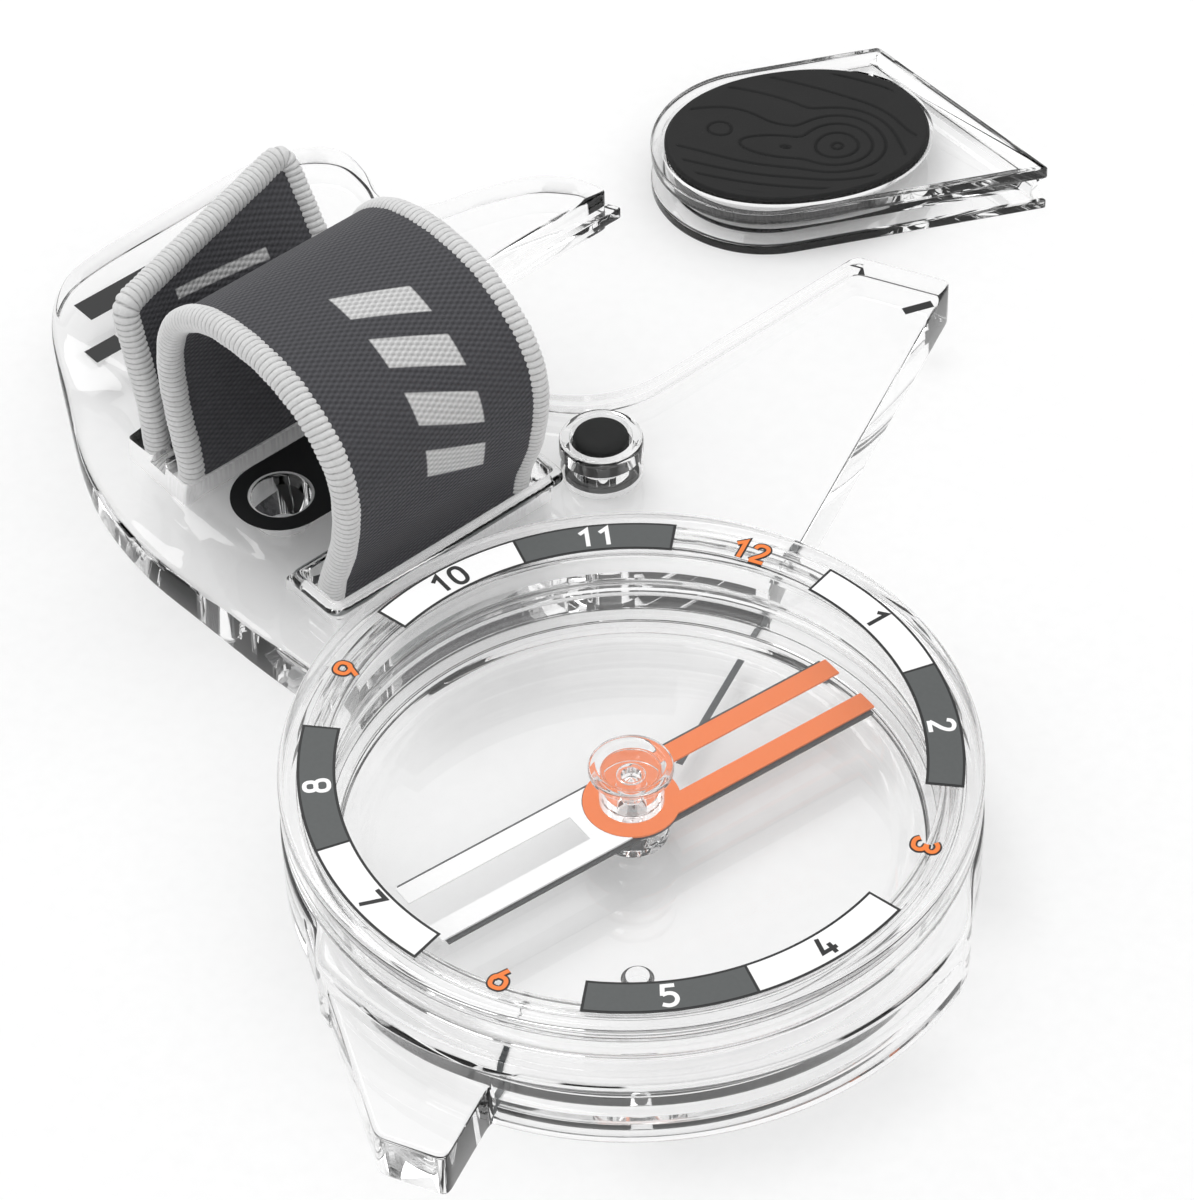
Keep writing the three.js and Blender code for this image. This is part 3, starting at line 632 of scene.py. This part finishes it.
# Each figure is drawn with a pen of even width: open strokes, and closed rounds given as an oval's
# middle and half sizes, in a box 0.6 wide and 1 high.
STROKES = {
    "0": [("round", 0.3, 0.5, 0.25, 0.5)],
    "1": [("line", (0.08, 0.76), (0.36, 1.0), (0.36, 0.0))],
    "2": [("curve", (0.06, 0.74), (0.12, 0.92), (0.3, 1.0), (0.5, 0.92), (0.54, 0.72), (0.42, 0.46),
           (0.2, 0.2), (0.06, 0.02)),
          ("line", (0.04, 0.0), (0.58, 0.0))],
    "3": [("curve", (0.06, 0.84), (0.16, 0.96), (0.3, 1.0), (0.47, 0.93), (0.52, 0.76), (0.44, 0.6),
           (0.24, 0.53)),
          ("curve", (0.24, 0.53), (0.48, 0.47), (0.57, 0.27), (0.49, 0.07), (0.3, 0.0), (0.14, 0.03),
           (0.03, 0.17))],
    "4": [("line", (0.2, 1.0), (0.02, 0.26), (0.6, 0.26)), ("line", (0.42, 0.56), (0.42, 0.0))],
    "5": [("line", (0.53, 1.0), (0.12, 1.0), (0.08, 0.52)),
          ("curve", (0.08, 0.55), (0.28, 0.62), (0.48, 0.55), (0.57, 0.32), (0.48, 0.08), (0.28, 0.0),
           (0.05, 0.08))],
    "6": [("round", 0.3, 0.3, 0.26, 0.3), ("line", (0.44, 1.0), (0.09, 0.44))],
    "7": [("line", (0.03, 1.0), (0.57, 1.0), (0.22, 0.0))],
    "8": [("round", 0.3, 0.76, 0.21, 0.24), ("round", 0.3, 0.27, 0.26, 0.27)],
    "9": [("round", 0.3, 0.7, 0.26, 0.3), ("line", (0.16, 0.0), (0.51, 0.56))],
}
FIGURE_HEIGHT = 1.62
FIGURE_WIDTH = 1.12
FIGURE_GAP = 0.28


def pen_stroke(line, width, joins):
    """A ribbon of even width: the line pushed half the width to each side, with its corners mitred."""
    if joins:
        before, after = line - np.roll(line, 1, 0), np.roll(line, -1, 0) - line
    else:
        steps = np.diff(line, axis=0)
        before, after = np.vstack([steps[:1], steps]), np.vstack([steps, steps[-1:]])
    before, after = (side / np.linalg.norm(side, axis=1)[:, None] for side in (before, after))
    normal = (before + after)[:, ::-1] * [1, -1]
    normal /= np.linalg.norm(normal, axis=1)[:, None]
    mitre = np.minimum(1 / np.maximum(np.sum(normal * (before[:, ::-1] * [1, -1]), 1), 0.3), 2.2)
    return line + normal * (mitre * width / 2)[:, None], line - normal * (mitre * width / 2)[:, None]


def figure_strokes(text):
    """The strokes of a number as lines in millimetres about its own middle, and whether each closes.

    A round is an oval whose sides are a little straightened, by the power 0.8 of cosine and sine."""
    width = len(text) * FIGURE_WIDTH + (len(text) - 1) * FIGURE_GAP
    strokes = []
    for place, character in enumerate(text):
        left = place * (FIGURE_WIDTH + FIGURE_GAP) - width / 2
        for kind, *parts in STROKES[character]:
            if kind == "round":
                x, y, half_width, half_height = parts
                shape = on_circle(np.linspace(0, 360, 40, endpoint=False))
                squared = np.sign(shape) * np.abs(shape) ** 0.8
                line = squared * [half_width, half_height] + [x, y]
            else:
                line = np.array(parts) if kind == "line" else through(parts, 30)
            line = line * [FIGURE_WIDTH / 0.6, FIGURE_HEIGHT] + [left, -FIGURE_HEIGHT / 2]
            strokes.append((line, kind == "round"))
    return strokes


def numbers(name, hours, width, bottom, thickness, material):
    """The numbers of these hours as raised ink, with their tops outwards from 8 round to 3.

    Each later stroke of a figure lies a little higher, so that no two tops share a level."""
    solids = []
    for hour in hours:
        angle = math.radians(hour_angle(hour))
        outward = np.array([math.cos(angle), math.sin(angle)])
        upward = -outward if 4 <= hour <= 7 else outward
        rightward = np.array([upward[1], -upward[0]])
        for layer, (line, joins) in enumerate(figure_strokes(str(hour))):
            top = bottom + thickness + 0.006 * layer
            flat = np.stack(pen_stroke(line, width, joins), 1)
            plan = outward * DIAL_MIDDLE + flat[..., :1] * rightward + flat[..., 1:] * upward
            section = np.stack([
                np.concatenate([plan[:, k], np.full((len(line), 1), level)], 1)
                for k, level in ((0, bottom), (1, bottom), (1, top), (0, top))], 1)
            rows = len(line)
            strip = quads(rows, 4, joins, True)
            if not joins:
                strip += [[3, 2, 1, 0], [4 * rows - 4, 4 * rows - 3, 4 * rows - 2, 4 * rows - 1]]
            solids.append((section, strip))
    return joined(name, solids, material)


PEN = 0.30
QUARTERS = (12, 3, 6, 9)
dark_numbers = numbers("dial_black_numbers", WHITE_HOURS, PEN, DIAL_BOTTOM + 2 * FILM, FILM, black_ink)
light_numbers = numbers("dial_white_numbers", GREY_HOURS, PEN, DIAL_BOTTOM + 2 * FILM, FILM, white_ink)
orange_rims = numbers("dial_orange_number_outlines", QUARTERS, PEN + 0.24, DIAL_BOTTOM, FILM, black_ink)
orange_numbers = numbers("dial_orange_numbers", QUARTERS, PEN, DIAL_BOTTOM + FILM, 0.03, orange_ink)
for piece in (frames, white_blocks, grey_blocks, dark_numbers, light_numbers, orange_rims, orange_numbers):
    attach(piece, "capsule")
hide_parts("dial_ring")


# ---- Pivot: a clear acrylic boss, moulded and glued to the capsule's floor ----
# It holds a point of hardened steel wire, on which the needle turns.
boss = turned("pivot_boss", softened([
    [0.65, 1.65], [2.5, 1.65], [2.4, 2.3], [1.9, 2.8], [1.3, 3.1], [1.2, 3.4], [0.65, 3.4]],
    0.12, True), sides=72)
shaded(boss, cast_acrylic)
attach(boss, "capsule")
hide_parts("pivot_base")

# Hardened steel wire, ground and polished: bright, with fine rings from the grinding.
ground_steel, tree = finish_named("ground_steel")
rings = add(tree, "TexWave", {
    "Vector": add(tree, "TexCoord").outputs["Object"], "Scale": 6000, "Distortion": 1.5},
    bands_direction="Z")
dull = add(tree, "MapRange", {"Value": rings.outputs["Fac"], "To Min": 0.14, "To Max": 0.26})
surface = add(tree, "BsdfPrincipled", {
    "Base Color": linear("#C9CCCE"), "Metallic": 1.0, "Roughness": dull.outputs[0]})
add(tree, "OutputMaterial", {"Surface": surface.outputs[0]})
refinish("pivot_pin", ground_steel)


# ---- Needle: thin lacquered aluminium, two bars each way from a round hub ----
# Blue-black lacquer on its edges, an orange north half with the hub, and a white south half.
blade_lacquer = ink_finish("blade_lacquer_blue_black", "#0C1013", "#14191D", 0.5)
north_lacquer = ink_finish("needle_lacquer_orange", "#EE7016", "#F2761C", 0.6)
south_lacquer = ink_finish("needle_lacquer_white", "#F8F8F8", "#FFFFFF", 0.5)
refinish("needle_blade", blade_lacquer)
refinish("needle_north_face", north_lacquer)
refinish("needle_south_face", south_lacquer)

# The bar magnets under the blade are sintered ferrite: dull, dark and slightly grainy.
ferrite = ink_finish("sintered_ferrite", "#26292D", "#383C40", 0.6)
refinish("needle_magnet_left", ferrite)
refinish("needle_magnet_right", ferrite)

# The clear cap on the hub is acrylic too. It holds the jewel over the steel point.
cap = turned("bearing_cap_moulding", softened([
    [1.0, 4.75], [2.2, 4.75], [2.2, 7.3], [2.85, 7.6], [2.85, 8.05], [2.3, 8.05], [1.9, 7.7], [0.02, 7.7],
    [0.02, 6.9], [1.0, 6.9]], 0.12, True), sides=96)
shaded(cap, cast_acrylic)
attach(cap, "needle")
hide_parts("bearing_cap")

# Synthetic sapphire: polished, clear, with a strong bend of light.
sapphire = clear_finish("polished_sapphire", 1.77, 0.0, "#F2F4F8")
refinish("jewel_bearing", sapphire)


# ---- Thumb strap: charcoal elastic webbing, woven with a raised rib across it ----
# It is sewn over the anchor bar, loops over the thumb and comes back up through the rear slots.
strap_line = through([
    [30.8, 2.1], [30.3, 4.4], [28.7, 8.6], [28.0, 12.8], [28.5, 16.0], [30.7, 18.8], [34.2, 20.7],
    [38.5, 21.2], [42.8, 20.4], [46.3, 17.8], [47.8, 14.0], [47.7, 9.0], [46.9, 4.8], [46.8, 2.9],
    [47.4, 1.4], [48.9, 1.1], [50.4, 1.45], [51.0, 3.2], [51.1, 6.0], [52.1, 10.6], [53.2, 14.8]], 900)
BAND_HALF_THICK = 0.6
BAND_START, BAND_END = -0.7, 15.1
EDGE_START, EDGE_END = -1.3, 15.7


def tail_lean(along, across, height):
    """Twists the free tail back: the lean is the climb above the plate times the way to the far edge."""
    on_tail = smoothstep(across, 49.2, 50.6)
    climb = np.maximum(0, height - 3.5) / 12
    farness = (along - EDGE_START) / (EDGE_END - EDGE_START)
    lean = on_tail * climb * farness
    spread = 1.2 * on_tail * farness * smoothstep(climb, 0.05, 0.4)
    return along + spread, across + 5.2 * lean, height + 1.0 * lean


def standing(along, across, height):
    """Points in space from distances along and across the strap and above the floor."""
    return np.concatenate([strap_plan(along, across), np.asarray(height)[..., None]], -1)


band_line = walked(strap_line, 0.16, False)
band_run = run_along(band_line)


def headings(line):
    """Unit directions along a line: the difference of each point's neighbours over its own length."""
    change = np.gradient(line, axis=0)
    return change / np.linalg.norm(change, axis=1)[:, None]


# The band's section is a thin ring of columns: out along one face and back along the other.
FACE_COLUMNS = 90
rows, columns = len(band_line), 2 * FACE_COLUMNS
heading = headings(band_line)
facing = np.stack([-heading[:, 1], heading[:, 0]], 1)
widths = np.linspace(BAND_START, BAND_END, FACE_COLUMNS)
along = np.broadcast_to(np.concatenate([widths, widths[::-1]]), (rows, columns))
offset = BAND_HALF_THICK * np.repeat([1, -1], FACE_COLUMNS)
across = band_line[:, :1] + facing[:, :1] * offset
height = band_line[:, 1:] + facing[:, 1:] * offset


def tube_faces(rows, columns):
    """The faces of a grid whose columns go round, with a flat face over its first row and its last."""
    ends = [list(range(columns)), list(range(columns * rows - 1, columns * (rows - 1) - 1, -1))]
    return quads(rows, columns, False, True) + ends


band = put_in("strap_webbing", standing(*tail_lean(along, across, height)), tube_faces(rows, columns))

# The UV map is the cloth laid flat, in metres: across the strap, and along its run.
corner_points = np.zeros(len(band.data.loops), int)
band.data.loops.foreach_get("vertex_index", corner_points)
laid_flat = np.stack([along, np.broadcast_to(band_run[:, None], (rows, columns))], 2).reshape(-1, 2) * MM
band.data.uv_layers.new(name="UVMap").data.foreach_set("uv", laid_flat[corner_points].ravel())

# Polyester elastic webbing: matt, with weft ribs of 0.42 mm set off by half in each 0.4 mm warp column
# and a fuzz of 0.17 mm. Its colour is painted darker in the rib troughs and lighter on the rib tops, as
# painted shade and painted highlight, with the fuzz as a random tone. A light yarn is woven in as a row of
# slanted bars.
elastic, tree = finish_named("woven_elastic_polyester")
cloth = add(tree, "SeparateXYZ", {"Vector": add(tree, "UVMap", uv_map="UVMap").outputs[0]})
column = add(tree, "Math", {0: cloth.outputs["X"], 1: 2500}, operation="MULTIPLY")
column_step = add(tree, "Math", {0: column.outputs[0]}, operation="FLOOR")
half_step = add(tree, "Math", {0: column_step.outputs[0], 1: 0.5}, operation="MULTIPLY")
rib = add(tree, "Math", {0: cloth.outputs["Y"], 1: 2380, 2: half_step.outputs[0]}, operation="MULTIPLY_ADD")
rib_wave = add(tree, "Math", {0: add(tree, "Math", {
    0: rib.outputs[0], 1: 2 * math.pi}, operation="MULTIPLY").outputs[0]}, operation="SINE")
warp_wave = add(tree, "Math", {0: add(tree, "Math", {
    0: column.outputs[0], 1: math.pi}, operation="MULTIPLY").outputs[0]}, operation="SINE")
warp_round = add(tree, "Math", {0: warp_wave.outputs[0]}, operation="ABSOLUTE")
fuzz = add(tree, "TexNoise", {"Vector": add(tree, "TexCoord").outputs["Object"], "Scale": 6000, "Detail": 4})
thread = add(tree, "Math", {
    0: rib_wave.outputs[0], 1: warp_round.outputs[0]}, operation="MULTIPLY")
relief_height = add(tree, "Math", {
    0: fuzz.outputs["Fac"], 1: 0.7, 2: thread.outputs[0]}, operation="MULTIPLY_ADD")
relief = add(tree, "Bump", {"Height": relief_height.outputs[0], "Strength": 0.8, "Distance": 0.00006})
# Painted shade in the rib troughs and painted highlight on the rib tops, mixed with the fuzz's random tone.
rib_shade_and_fuzz_tone = add(tree, "MapRange", {"Value": relief_height.outputs[0], "From Min": -0.9, "From Max": 1.6})
yarn = add(tree, "Mix", {
    "Factor": rib_shade_and_fuzz_tone.outputs[0], 6: linear("#3A3A3D"), 7: linear("#5A5A5E")}, data_type="RGBA")
light_yarn = add(tree, "Mix", {
    "Factor": rib_shade_and_fuzz_tone.outputs[0], 6: linear("#A8A8A8"), 7: linear("#E6E6E6")}, data_type="RGBA")


def within(value, low, high, soft=0.00006):
    """1 where the value lies between two measures and 0 beyond them, over a soft step."""
    rise = add(tree, "MapRange", {"Value": value, "From Min": low - soft, "From Max": low + soft})
    fall = add(tree, "MapRange", {"Value": value, "From Min": high + soft, "From Max": high - soft})
    return add(tree, "Math", {0: rise.outputs[0], 1: fall.outputs[0]}, operation="MULTIPLY").outputs[0]


def slanted_bars(near, far, first, last, pitch, slant, share):
    """Bars across a strip of the webbing, which repeat along its run as sheared by the slant."""
    sheared = add(tree, "Math", {
        0: cloth.outputs["X"], 1: slant, 2: cloth.outputs["Y"]}, operation="MULTIPLY_ADD")
    repeat = add(tree, "Math", {0: sheared.outputs[0], 1: pitch}, operation="FLOORED_MODULO")
    strip = add(tree, "Math", {
        0: within(cloth.outputs["X"], near, far),
        1: within(sheared.outputs[0], first, last)}, operation="MULTIPLY")
    return add(tree, "Math", {
        0: strip.outputs[0],
        1: within(repeat.outputs[0], 0.0002, share * pitch)}, operation="MULTIPLY").outputs[0]


TAIL_PITCH = 0.0016
TAIL_BARS = TAIL_PITCH * round((float(band_run[-1]) * MM - 0.004) / TAIL_PITCH)
woven_in = add(tree, "Math", {
    0: slanted_bars(0.0054, 0.0106, 0.0126, 0.0294, 0.0042, 0.45, 0.6),
    1: slanted_bars(0.0030, 0.0112, TAIL_BARS, TAIL_BARS + 2 * TAIL_PITCH, TAIL_PITCH, 0.25, 0.6)},
    operation="MAXIMUM")
patterned = add(tree, "Mix", {
    "Factor": woven_in.outputs[0], 6: yarn.outputs[2], 7: light_yarn.outputs[2]}, data_type="RGBA")
surface = add(tree, "BsdfPrincipled", {
    "Base Color": patterned.outputs[2], "Roughness": 0.85, "Sheen Weight": 0.08, "Sheen Roughness": 0.4,
    "Specular IOR Level": 0.25, "Normal": relief.outputs[0]})
add(tree, "OutputMaterial", {"Surface": surface.outputs[0]})
shaded(band, elastic, 60)
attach(band, "base")
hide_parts("strap_band")


# ---- Strap edging: light grey polyester thread, whipped tightly round a cord core ----
# It is sewn to the webbing along both sides and over the tail's end, and keeps it from fraying. The
# turns are 0.46 mm apart.
EDGE_RADIUS = 1.0
WHIP_PITCH = 0.46
flat_line = walked(strap_line, 0.1, False)
cross = np.linspace(EDGE_START, EDGE_END, 160)[1:-1]
tip = flat_line[-1]
whole = np.vstack([
    np.column_stack([np.full(len(flat_line), EDGE_START), flat_line]),
    np.column_stack([cross, np.full(len(cross), tip[0]), np.full(len(cross), tip[1])]),
    np.column_stack([np.full(len(flat_line), EDGE_END), flat_line[::-1]])])
CORNER_REACH = 16
# The line turns each corner of the tail in a bend, as a weighted average of its neighbours.
corner_weight = np.hanning(2 * CORNER_REACH + 3)[1:-1]
corner_weight /= corner_weight.sum()
held = np.pad(whole, ((CORNER_REACH, CORNER_REACH), (0, 0)), mode="edge")
whole = np.stack([np.convolve(held[:, k], corner_weight, "valid") for k in range(3)], 1)
edge_line = walked(standing(*tail_lean(*whole.T)), 0.075, False)


def give_points(piece, name, values):
    """Gives each point of the mesh a value for the material to read as an attribute."""
    attribute = piece.data.attributes.new(name, "FLOAT", "POINT")
    attribute.data.foreach_set("value", np.asarray(values).ravel())


def whipped_cord(name, line, radius, pitch, sides=20):
    """A cord under a tight winding: a circle carried along the line, its radius rising and falling
    with a sine of the run over the pitch plus the way round, so that the ridges wind round it."""
    heading = headings(line)
    sideways = np.cross(heading, [0.31, -0.77, 0.55])
    sideways /= np.linalg.norm(sideways, axis=1)[:, None]
    upwards = np.cross(heading, sideways)
    run = run_along(line)[:, None]
    angle = np.linspace(0, 2 * math.pi, sides, endpoint=False)
    ridge = np.abs(np.sin(math.pi * run / pitch + angle / 2))
    uneven = 0.025 * np.sin(run * 1.9) * np.sin(angle * 2 + run * 0.7)
    spread = (radius * (0.86 + 0.14 * ridge ** 0.8 + uneven))[..., None]
    points = line[:, None] + spread * (
        np.cos(angle)[None, :, None] * sideways[:, None] + np.sin(angle)[None, :, None] * upwards[:, None])
    cord = put_in(name, points, tube_faces(len(line), sides))
    give_points(cord, "ridge", ridge)
    return cord


edging = whipped_cord("strap_whipped_edge", edge_line, EDGE_RADIUS, WHIP_PITCH)
# Spun polyester thread: soft, matt and slightly hairy at 0.3 mm, with painted shade on each turn where it
# meets the next, and faintly soiled in patches of a few millimetres.
whipping, tree = finish_named("spun_polyester_whipping")
ridge_here = add(tree, "Attribute", attribute_name="ridge")
lit_part = add(tree, "MapRange", {
    "Value": ridge_here.outputs["Fac"], "From Max": 0.55}, interpolation_type="SMOOTHSTEP")
lint = add(tree, "TexNoise", {
    "Vector": add(tree, "TexCoord").outputs["Object"], "Scale": 3500, "Detail": 5, "Roughness": 0.7})
soil = add(tree, "TexNoise", {
    "Vector": add(tree, "TexCoord").outputs["Object"], "Scale": 380, "Detail": 2})
thread_shade = add(tree, "Mix", {
    "Factor": lint.outputs["Fac"], 6: linear("#C6C6C6"), 7: linear("#F2F2F2")}, data_type="RGBA")
worn_shade = add(tree, "Mix", {
    "Factor": add(tree, "MapRange", {
        "Value": soil.outputs["Fac"], "From Min": 0.4, "From Max": 0.75, "To Max": 0.35}).outputs[0],
    6: thread_shade.outputs[2], 7: linear("#D0D0D0")}, data_type="RGBA")
relief = add(tree, "Bump", {"Height": lint.outputs["Fac"], "Strength": 0.7, "Distance": 0.00008})
# Each turn is painted dark grey where it meets the next: painted shade between the turns.
painted_shade_between_turns = add(tree, "Mix", {
    "Factor": lit_part.outputs[0], 6: linear("#979797"), 7: worn_shade.outputs[2]}, data_type="RGBA")
surface = add(tree, "BsdfPrincipled", {
    "Base Color": painted_shade_between_turns.outputs[2], "Roughness": 0.85, "Sheen Weight": 0.15,
    "Specular IOR Level": 0.25, "Normal": relief.outputs[0]})
add(tree, "OutputMaterial", {"Surface": surface.outputs[0]})
shaded(edging, whipping, 75)
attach(edging, "base")
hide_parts("strap_edge_left", "strap_edge_right")

# Grey acetal bar that the webbing is sewn over, under the front slot.
refinish("strap_anchor_bar", ink_finish("moulded_grey_acetal", "#858889", "#949798", 0.5))


# ---- Grip plug: a stud of black silicone, moulded, and pushed into its collar from below ----
# Its flange holds it there and its round head grips the map. Moulded silicone is matt and soft, with
# a fine texture from the tool.
def silicone_finish(name, dark, light):
    """Black rubber: a fine 0.15 mm texture in the surface, and dust in patches of 2.4 mm."""
    material, tree = finish_named(name)
    place = add(tree, "TexCoord").outputs["Object"]
    texture = add(tree, "TexNoise", {"Vector": place, "Scale": 6600, "Detail": 3})
    dust = add(tree, "TexNoise", {"Vector": place, "Scale": 420, "Detail": 4})
    shade = add(tree, "Mix", {
        "Factor": dust.outputs["Fac"], 6: linear(dark), 7: linear(light)}, data_type="RGBA")
    relief = add(tree, "Bump", {"Height": texture.outputs["Fac"], "Strength": 0.35, "Distance": 0.00003})
    surface = add(tree, "BsdfPrincipled", {
        "Base Color": shade.outputs[2], "Roughness": 0.7, "Specular IOR Level": 0.3,
        "Normal": relief.outputs[0]})
    add(tree, "OutputMaterial", {"Surface": surface.outputs[0]})
    return material, tree, surface, shade


black_silicone = silicone_finish("moulded_silicone_black", "#161717", "#232424")[0]
plug = turned("grip_plug_moulding", softened([
    [0, 0.02], [2.7, 0.02], [2.7, 0.7], [2.0, 0.7], [2.0, 5.35], [1.5, 5.6], [0, 5.6]], 0.25), PLUG_AT, 64)
shaded(plug, black_silicone)
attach(plug, "base")
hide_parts("grip_plug")


# ---- Pad carrier: a loose slide of clear acrylic, injection moulded, 4 mm thick ----
# A groove round its sides runs on the rails of the plate's cutout, and a stepped pocket in its top
# takes the thumb pad.
CARRIER_NOSE = np.array([-18.2, 68.1])
CARRIER_HEADING = math.radians(64.5 - 27.2)
CARRIER_HALF = 8.85
CARRIER_LENGTH = 15.874
END_SLANT = ACROSS[1] / ALONG[1]


def carrier_plan(points, turn=0.0):
    """Plan points of the carrier: turned by its heading, about and away from its nose's middle."""
    heading = CARRIER_HEADING + turn
    forward = np.array([math.cos(heading), math.sin(heading)])
    return CARRIER_NOSE + points[:, :1] * forward + points[:, 1:] * np.array([-forward[1], forward[0]])


carrier_outline = eased(carrier_plan(np.vstack([
    [CARRIER_LENGTH + END_SLANT * CARRIER_HALF, -CARRIER_HALF],
    [CARRIER_LENGTH - END_SLANT * CARRIER_HALF, CARRIER_HALF],
    arc((0, 0), CARRIER_HALF, 90, 270, 60)])), 0.35, 0.25)
groove_profile = softened([
    [-0.3, 0.0], [0.0, 0.0], [0.0, 0.85], [-1.3, 1.35], [-1.3, 2.75], [0.0, 2.95], [0.0, 4.0],
    [-0.3, 4.0]], 0.22)
carrier = walled("pad_carrier_moulding", carrier_outline, groove_profile[:, 0], groove_profile[:, 1])


def super_ellipse(half_length, half_width, exponent, count):
    """An oval whose points are the half sizes times cosine and sine, each to the power 2 over exponent."""
    shape = on_circle(np.linspace(0, 360, count, endpoint=False))
    return np.sign(shape) * np.abs(shape) ** (2 / exponent) * [half_length, half_width]


PAD_LENGTH, PAD_WIDTH, PAD_ROUNDNESS = 10.45, 7.9, 2.15
PAD_FIT = 0.15
PAD_TURN = math.radians(-3)
PAD_SHIFT = 2.55 * np.array([math.cos(-PAD_TURN), math.sin(-PAD_TURN)])


def pad_plan(points):
    """Plan points of the pad, which lies turned a little on its carrier."""
    return carrier_plan(points + PAD_SHIFT, PAD_TURN)


pad_seat = eased(pad_plan(super_ellipse(PAD_LENGTH, PAD_WIDTH, PAD_ROUNDNESS, 240)), 0.3)
worked(carrier, "DIFFERENCE", [
    upright("pocket_ledge", pad_seat, 3.4, 6.0, PAD_FIT),
    upright("pocket", pad_seat, 1.0, 6.0, PAD_FIT - 1.0)])
shaded(carrier, cast_acrylic)
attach(carrier, "pad_carrier")
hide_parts("pad_carrier")


# ---- Thumb pad: black silicone, moulded as one oval with a thin flange and a deep core ----
# Its top has the contour lines of a map as fine grooves, for grip, and its side is ribbed. It is
# glued into the carrier's pocket.
ROUND_STEPS, RING_STEPS = 560, 130
LINE_WIDTH, LINE_DEPTH = 0.11, 0.14
PAD_BOTTOM, PAD_LEDGE, PAD_TOP = 1.1, 3.5, 4.3


def land(x, y):
    """Height, in contour steps, of an imagined hillside: the soft maximum of a round hill, a long
    ridge beside it and a terrace that falls away on three sides, plus one knoll on the terrace."""
    def beyond(value):
        return np.log1p(np.exp(value))
    away = np.hypot(x - 2.7, (y + 2.3) * np.where(y < -2.3, 1.25, 1.0))
    hill = 4.3 - 0.72 * away - 0.045 * away ** 2
    ridge_run = 0.36 * (y + 1.5) - 0.93 * (x + 1.2)
    ridge_side = 0.36 * (x + 1.2) + 0.93 * (y + 1.5)
    ridge = 3.15 - np.sqrt(0.01 + (0.34 * ridge_run) ** 2 + (0.9 * ridge_side) ** 2)
    terrace = (1.75 - 0.26 * beyond(x + 4.5) - 0.42 * beyond(y - 3.0)
               - 1.1 * beyond(-0.47 * (x + 8) - 0.88 * (y + 0.3)))
    knoll = 0.75 * np.exp(-((x + 5.7) / 1.3) ** 2 - ((y - 1.9) / 1.1) ** 2)
    return np.log(np.exp(3 * hill) + np.exp(3 * ridge) + np.exp(3 * terrace)) / 3 + knoll


rim = super_ellipse(PAD_LENGTH - PAD_FIT, PAD_WIDTH - PAD_FIT, PAD_ROUNDNESS, ROUND_STEPS)
share = np.linspace(0, 1, RING_STEPS + 1)[1:] ** 0.85
top_plan = rim[:, None] * share[None, :, None]
level_count = land(top_plan[..., 0], top_plan[..., 1])
slope = np.stack([
    land(top_plan[..., 0] + 0.05, top_plan[..., 1]) - land(top_plan[..., 0] - 0.05, top_plan[..., 1]),
    land(top_plan[..., 0], top_plan[..., 1] + 0.05) - land(top_plan[..., 0], top_plan[..., 1] - 0.05)]) / 0.1
steepness = np.maximum(np.linalg.norm(slope, axis=0), 0.25)
from_line = np.abs(level_count - np.round(level_count)) / steepness
groove = np.exp(-(from_line / LINE_WIDTH) ** 2) * smoothstep(share, 0.92, 0.90)
edge_fall = 0.3 * smoothstep(share, 0.965, 1.0) ** 2
top_height = PAD_TOP - edge_fall - LINE_DEPTH * groove
ribs = 0.07 * np.cos(np.arange(ROUND_STEPS) * 2 * math.pi / 4)
side_levels = np.array([3.9, 3.6, PAD_LEDGE, PAD_LEDGE, 3.3, 1.3, PAD_BOTTOM])
side_insets = np.array([0.0, 0.0, 0.05, 1.0, 1.08, 1.08, 1.15])
ribbed = np.array([1, 1, 0, 0, 1, 1, 0])
side_outset = ribs[:, None] * ribbed - side_insets - 0.06
side_plan = rim[:, None] + outwards(rim)[:, None] * side_outset[..., None]
pad_rows = np.concatenate([top_plan, side_plan], 1)
pad_levels = np.concatenate([top_height, np.broadcast_to(side_levels, (ROUND_STEPS, len(side_levels)))], 1)
columns = RING_STEPS + len(side_levels)
flat_points = pad_plan(pad_rows.reshape(-1, 2)).reshape(ROUND_STEPS, columns, 2)
pad_points = np.concatenate([flat_points, pad_levels[..., None]], 2)[:, ::-1]
centre = np.append(pad_plan(np.zeros((1, 2)))[0], PAD_TOP)
pad_faces = quads(ROUND_STEPS, columns)
inner = np.arange(ROUND_STEPS) * columns + columns - 1
pad_faces += np.stack([inner, np.roll(inner, -1), np.full(ROUND_STEPS, ROUND_STEPS * columns)], 1).tolist()
pad_faces.append((np.arange(ROUND_STEPS)[::-1] * columns).tolist())
pad = put_in("thumb_pad_moulding", np.vstack([pad_points.reshape(-1, 3), centre]), pad_faces)
groove_all = np.concatenate([groove, np.zeros((ROUND_STEPS, len(side_levels)))], 1)[:, ::-1].ravel()
give_points(pad, "groove", np.append(groove_all, 0))

pad_silicone, tree, surface, shade = silicone_finish("moulded_silicone_pad", "#1C1C1C", "#232323")
# The contour grooves are painted darker than the pad round them: painted shade in the grooves.
in_groove = add(tree, "Attribute", attribute_name="groove")
painted_groove_shade = add(tree, "Mix", {
    "Factor": in_groove.outputs["Fac"], 6: shade.outputs[2], 7: linear("#141515")}, data_type="RGBA")
tree.links.new(painted_groove_shade.outputs[2], surface.inputs["Base Color"])
shaded(pad, pad_silicone, 50)
pad.data.polygons.foreach_set("use_smooth", np.ones(len(pad.data.polygons), bool))
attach(pad, "pad_carrier")
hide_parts("thumb_pad")
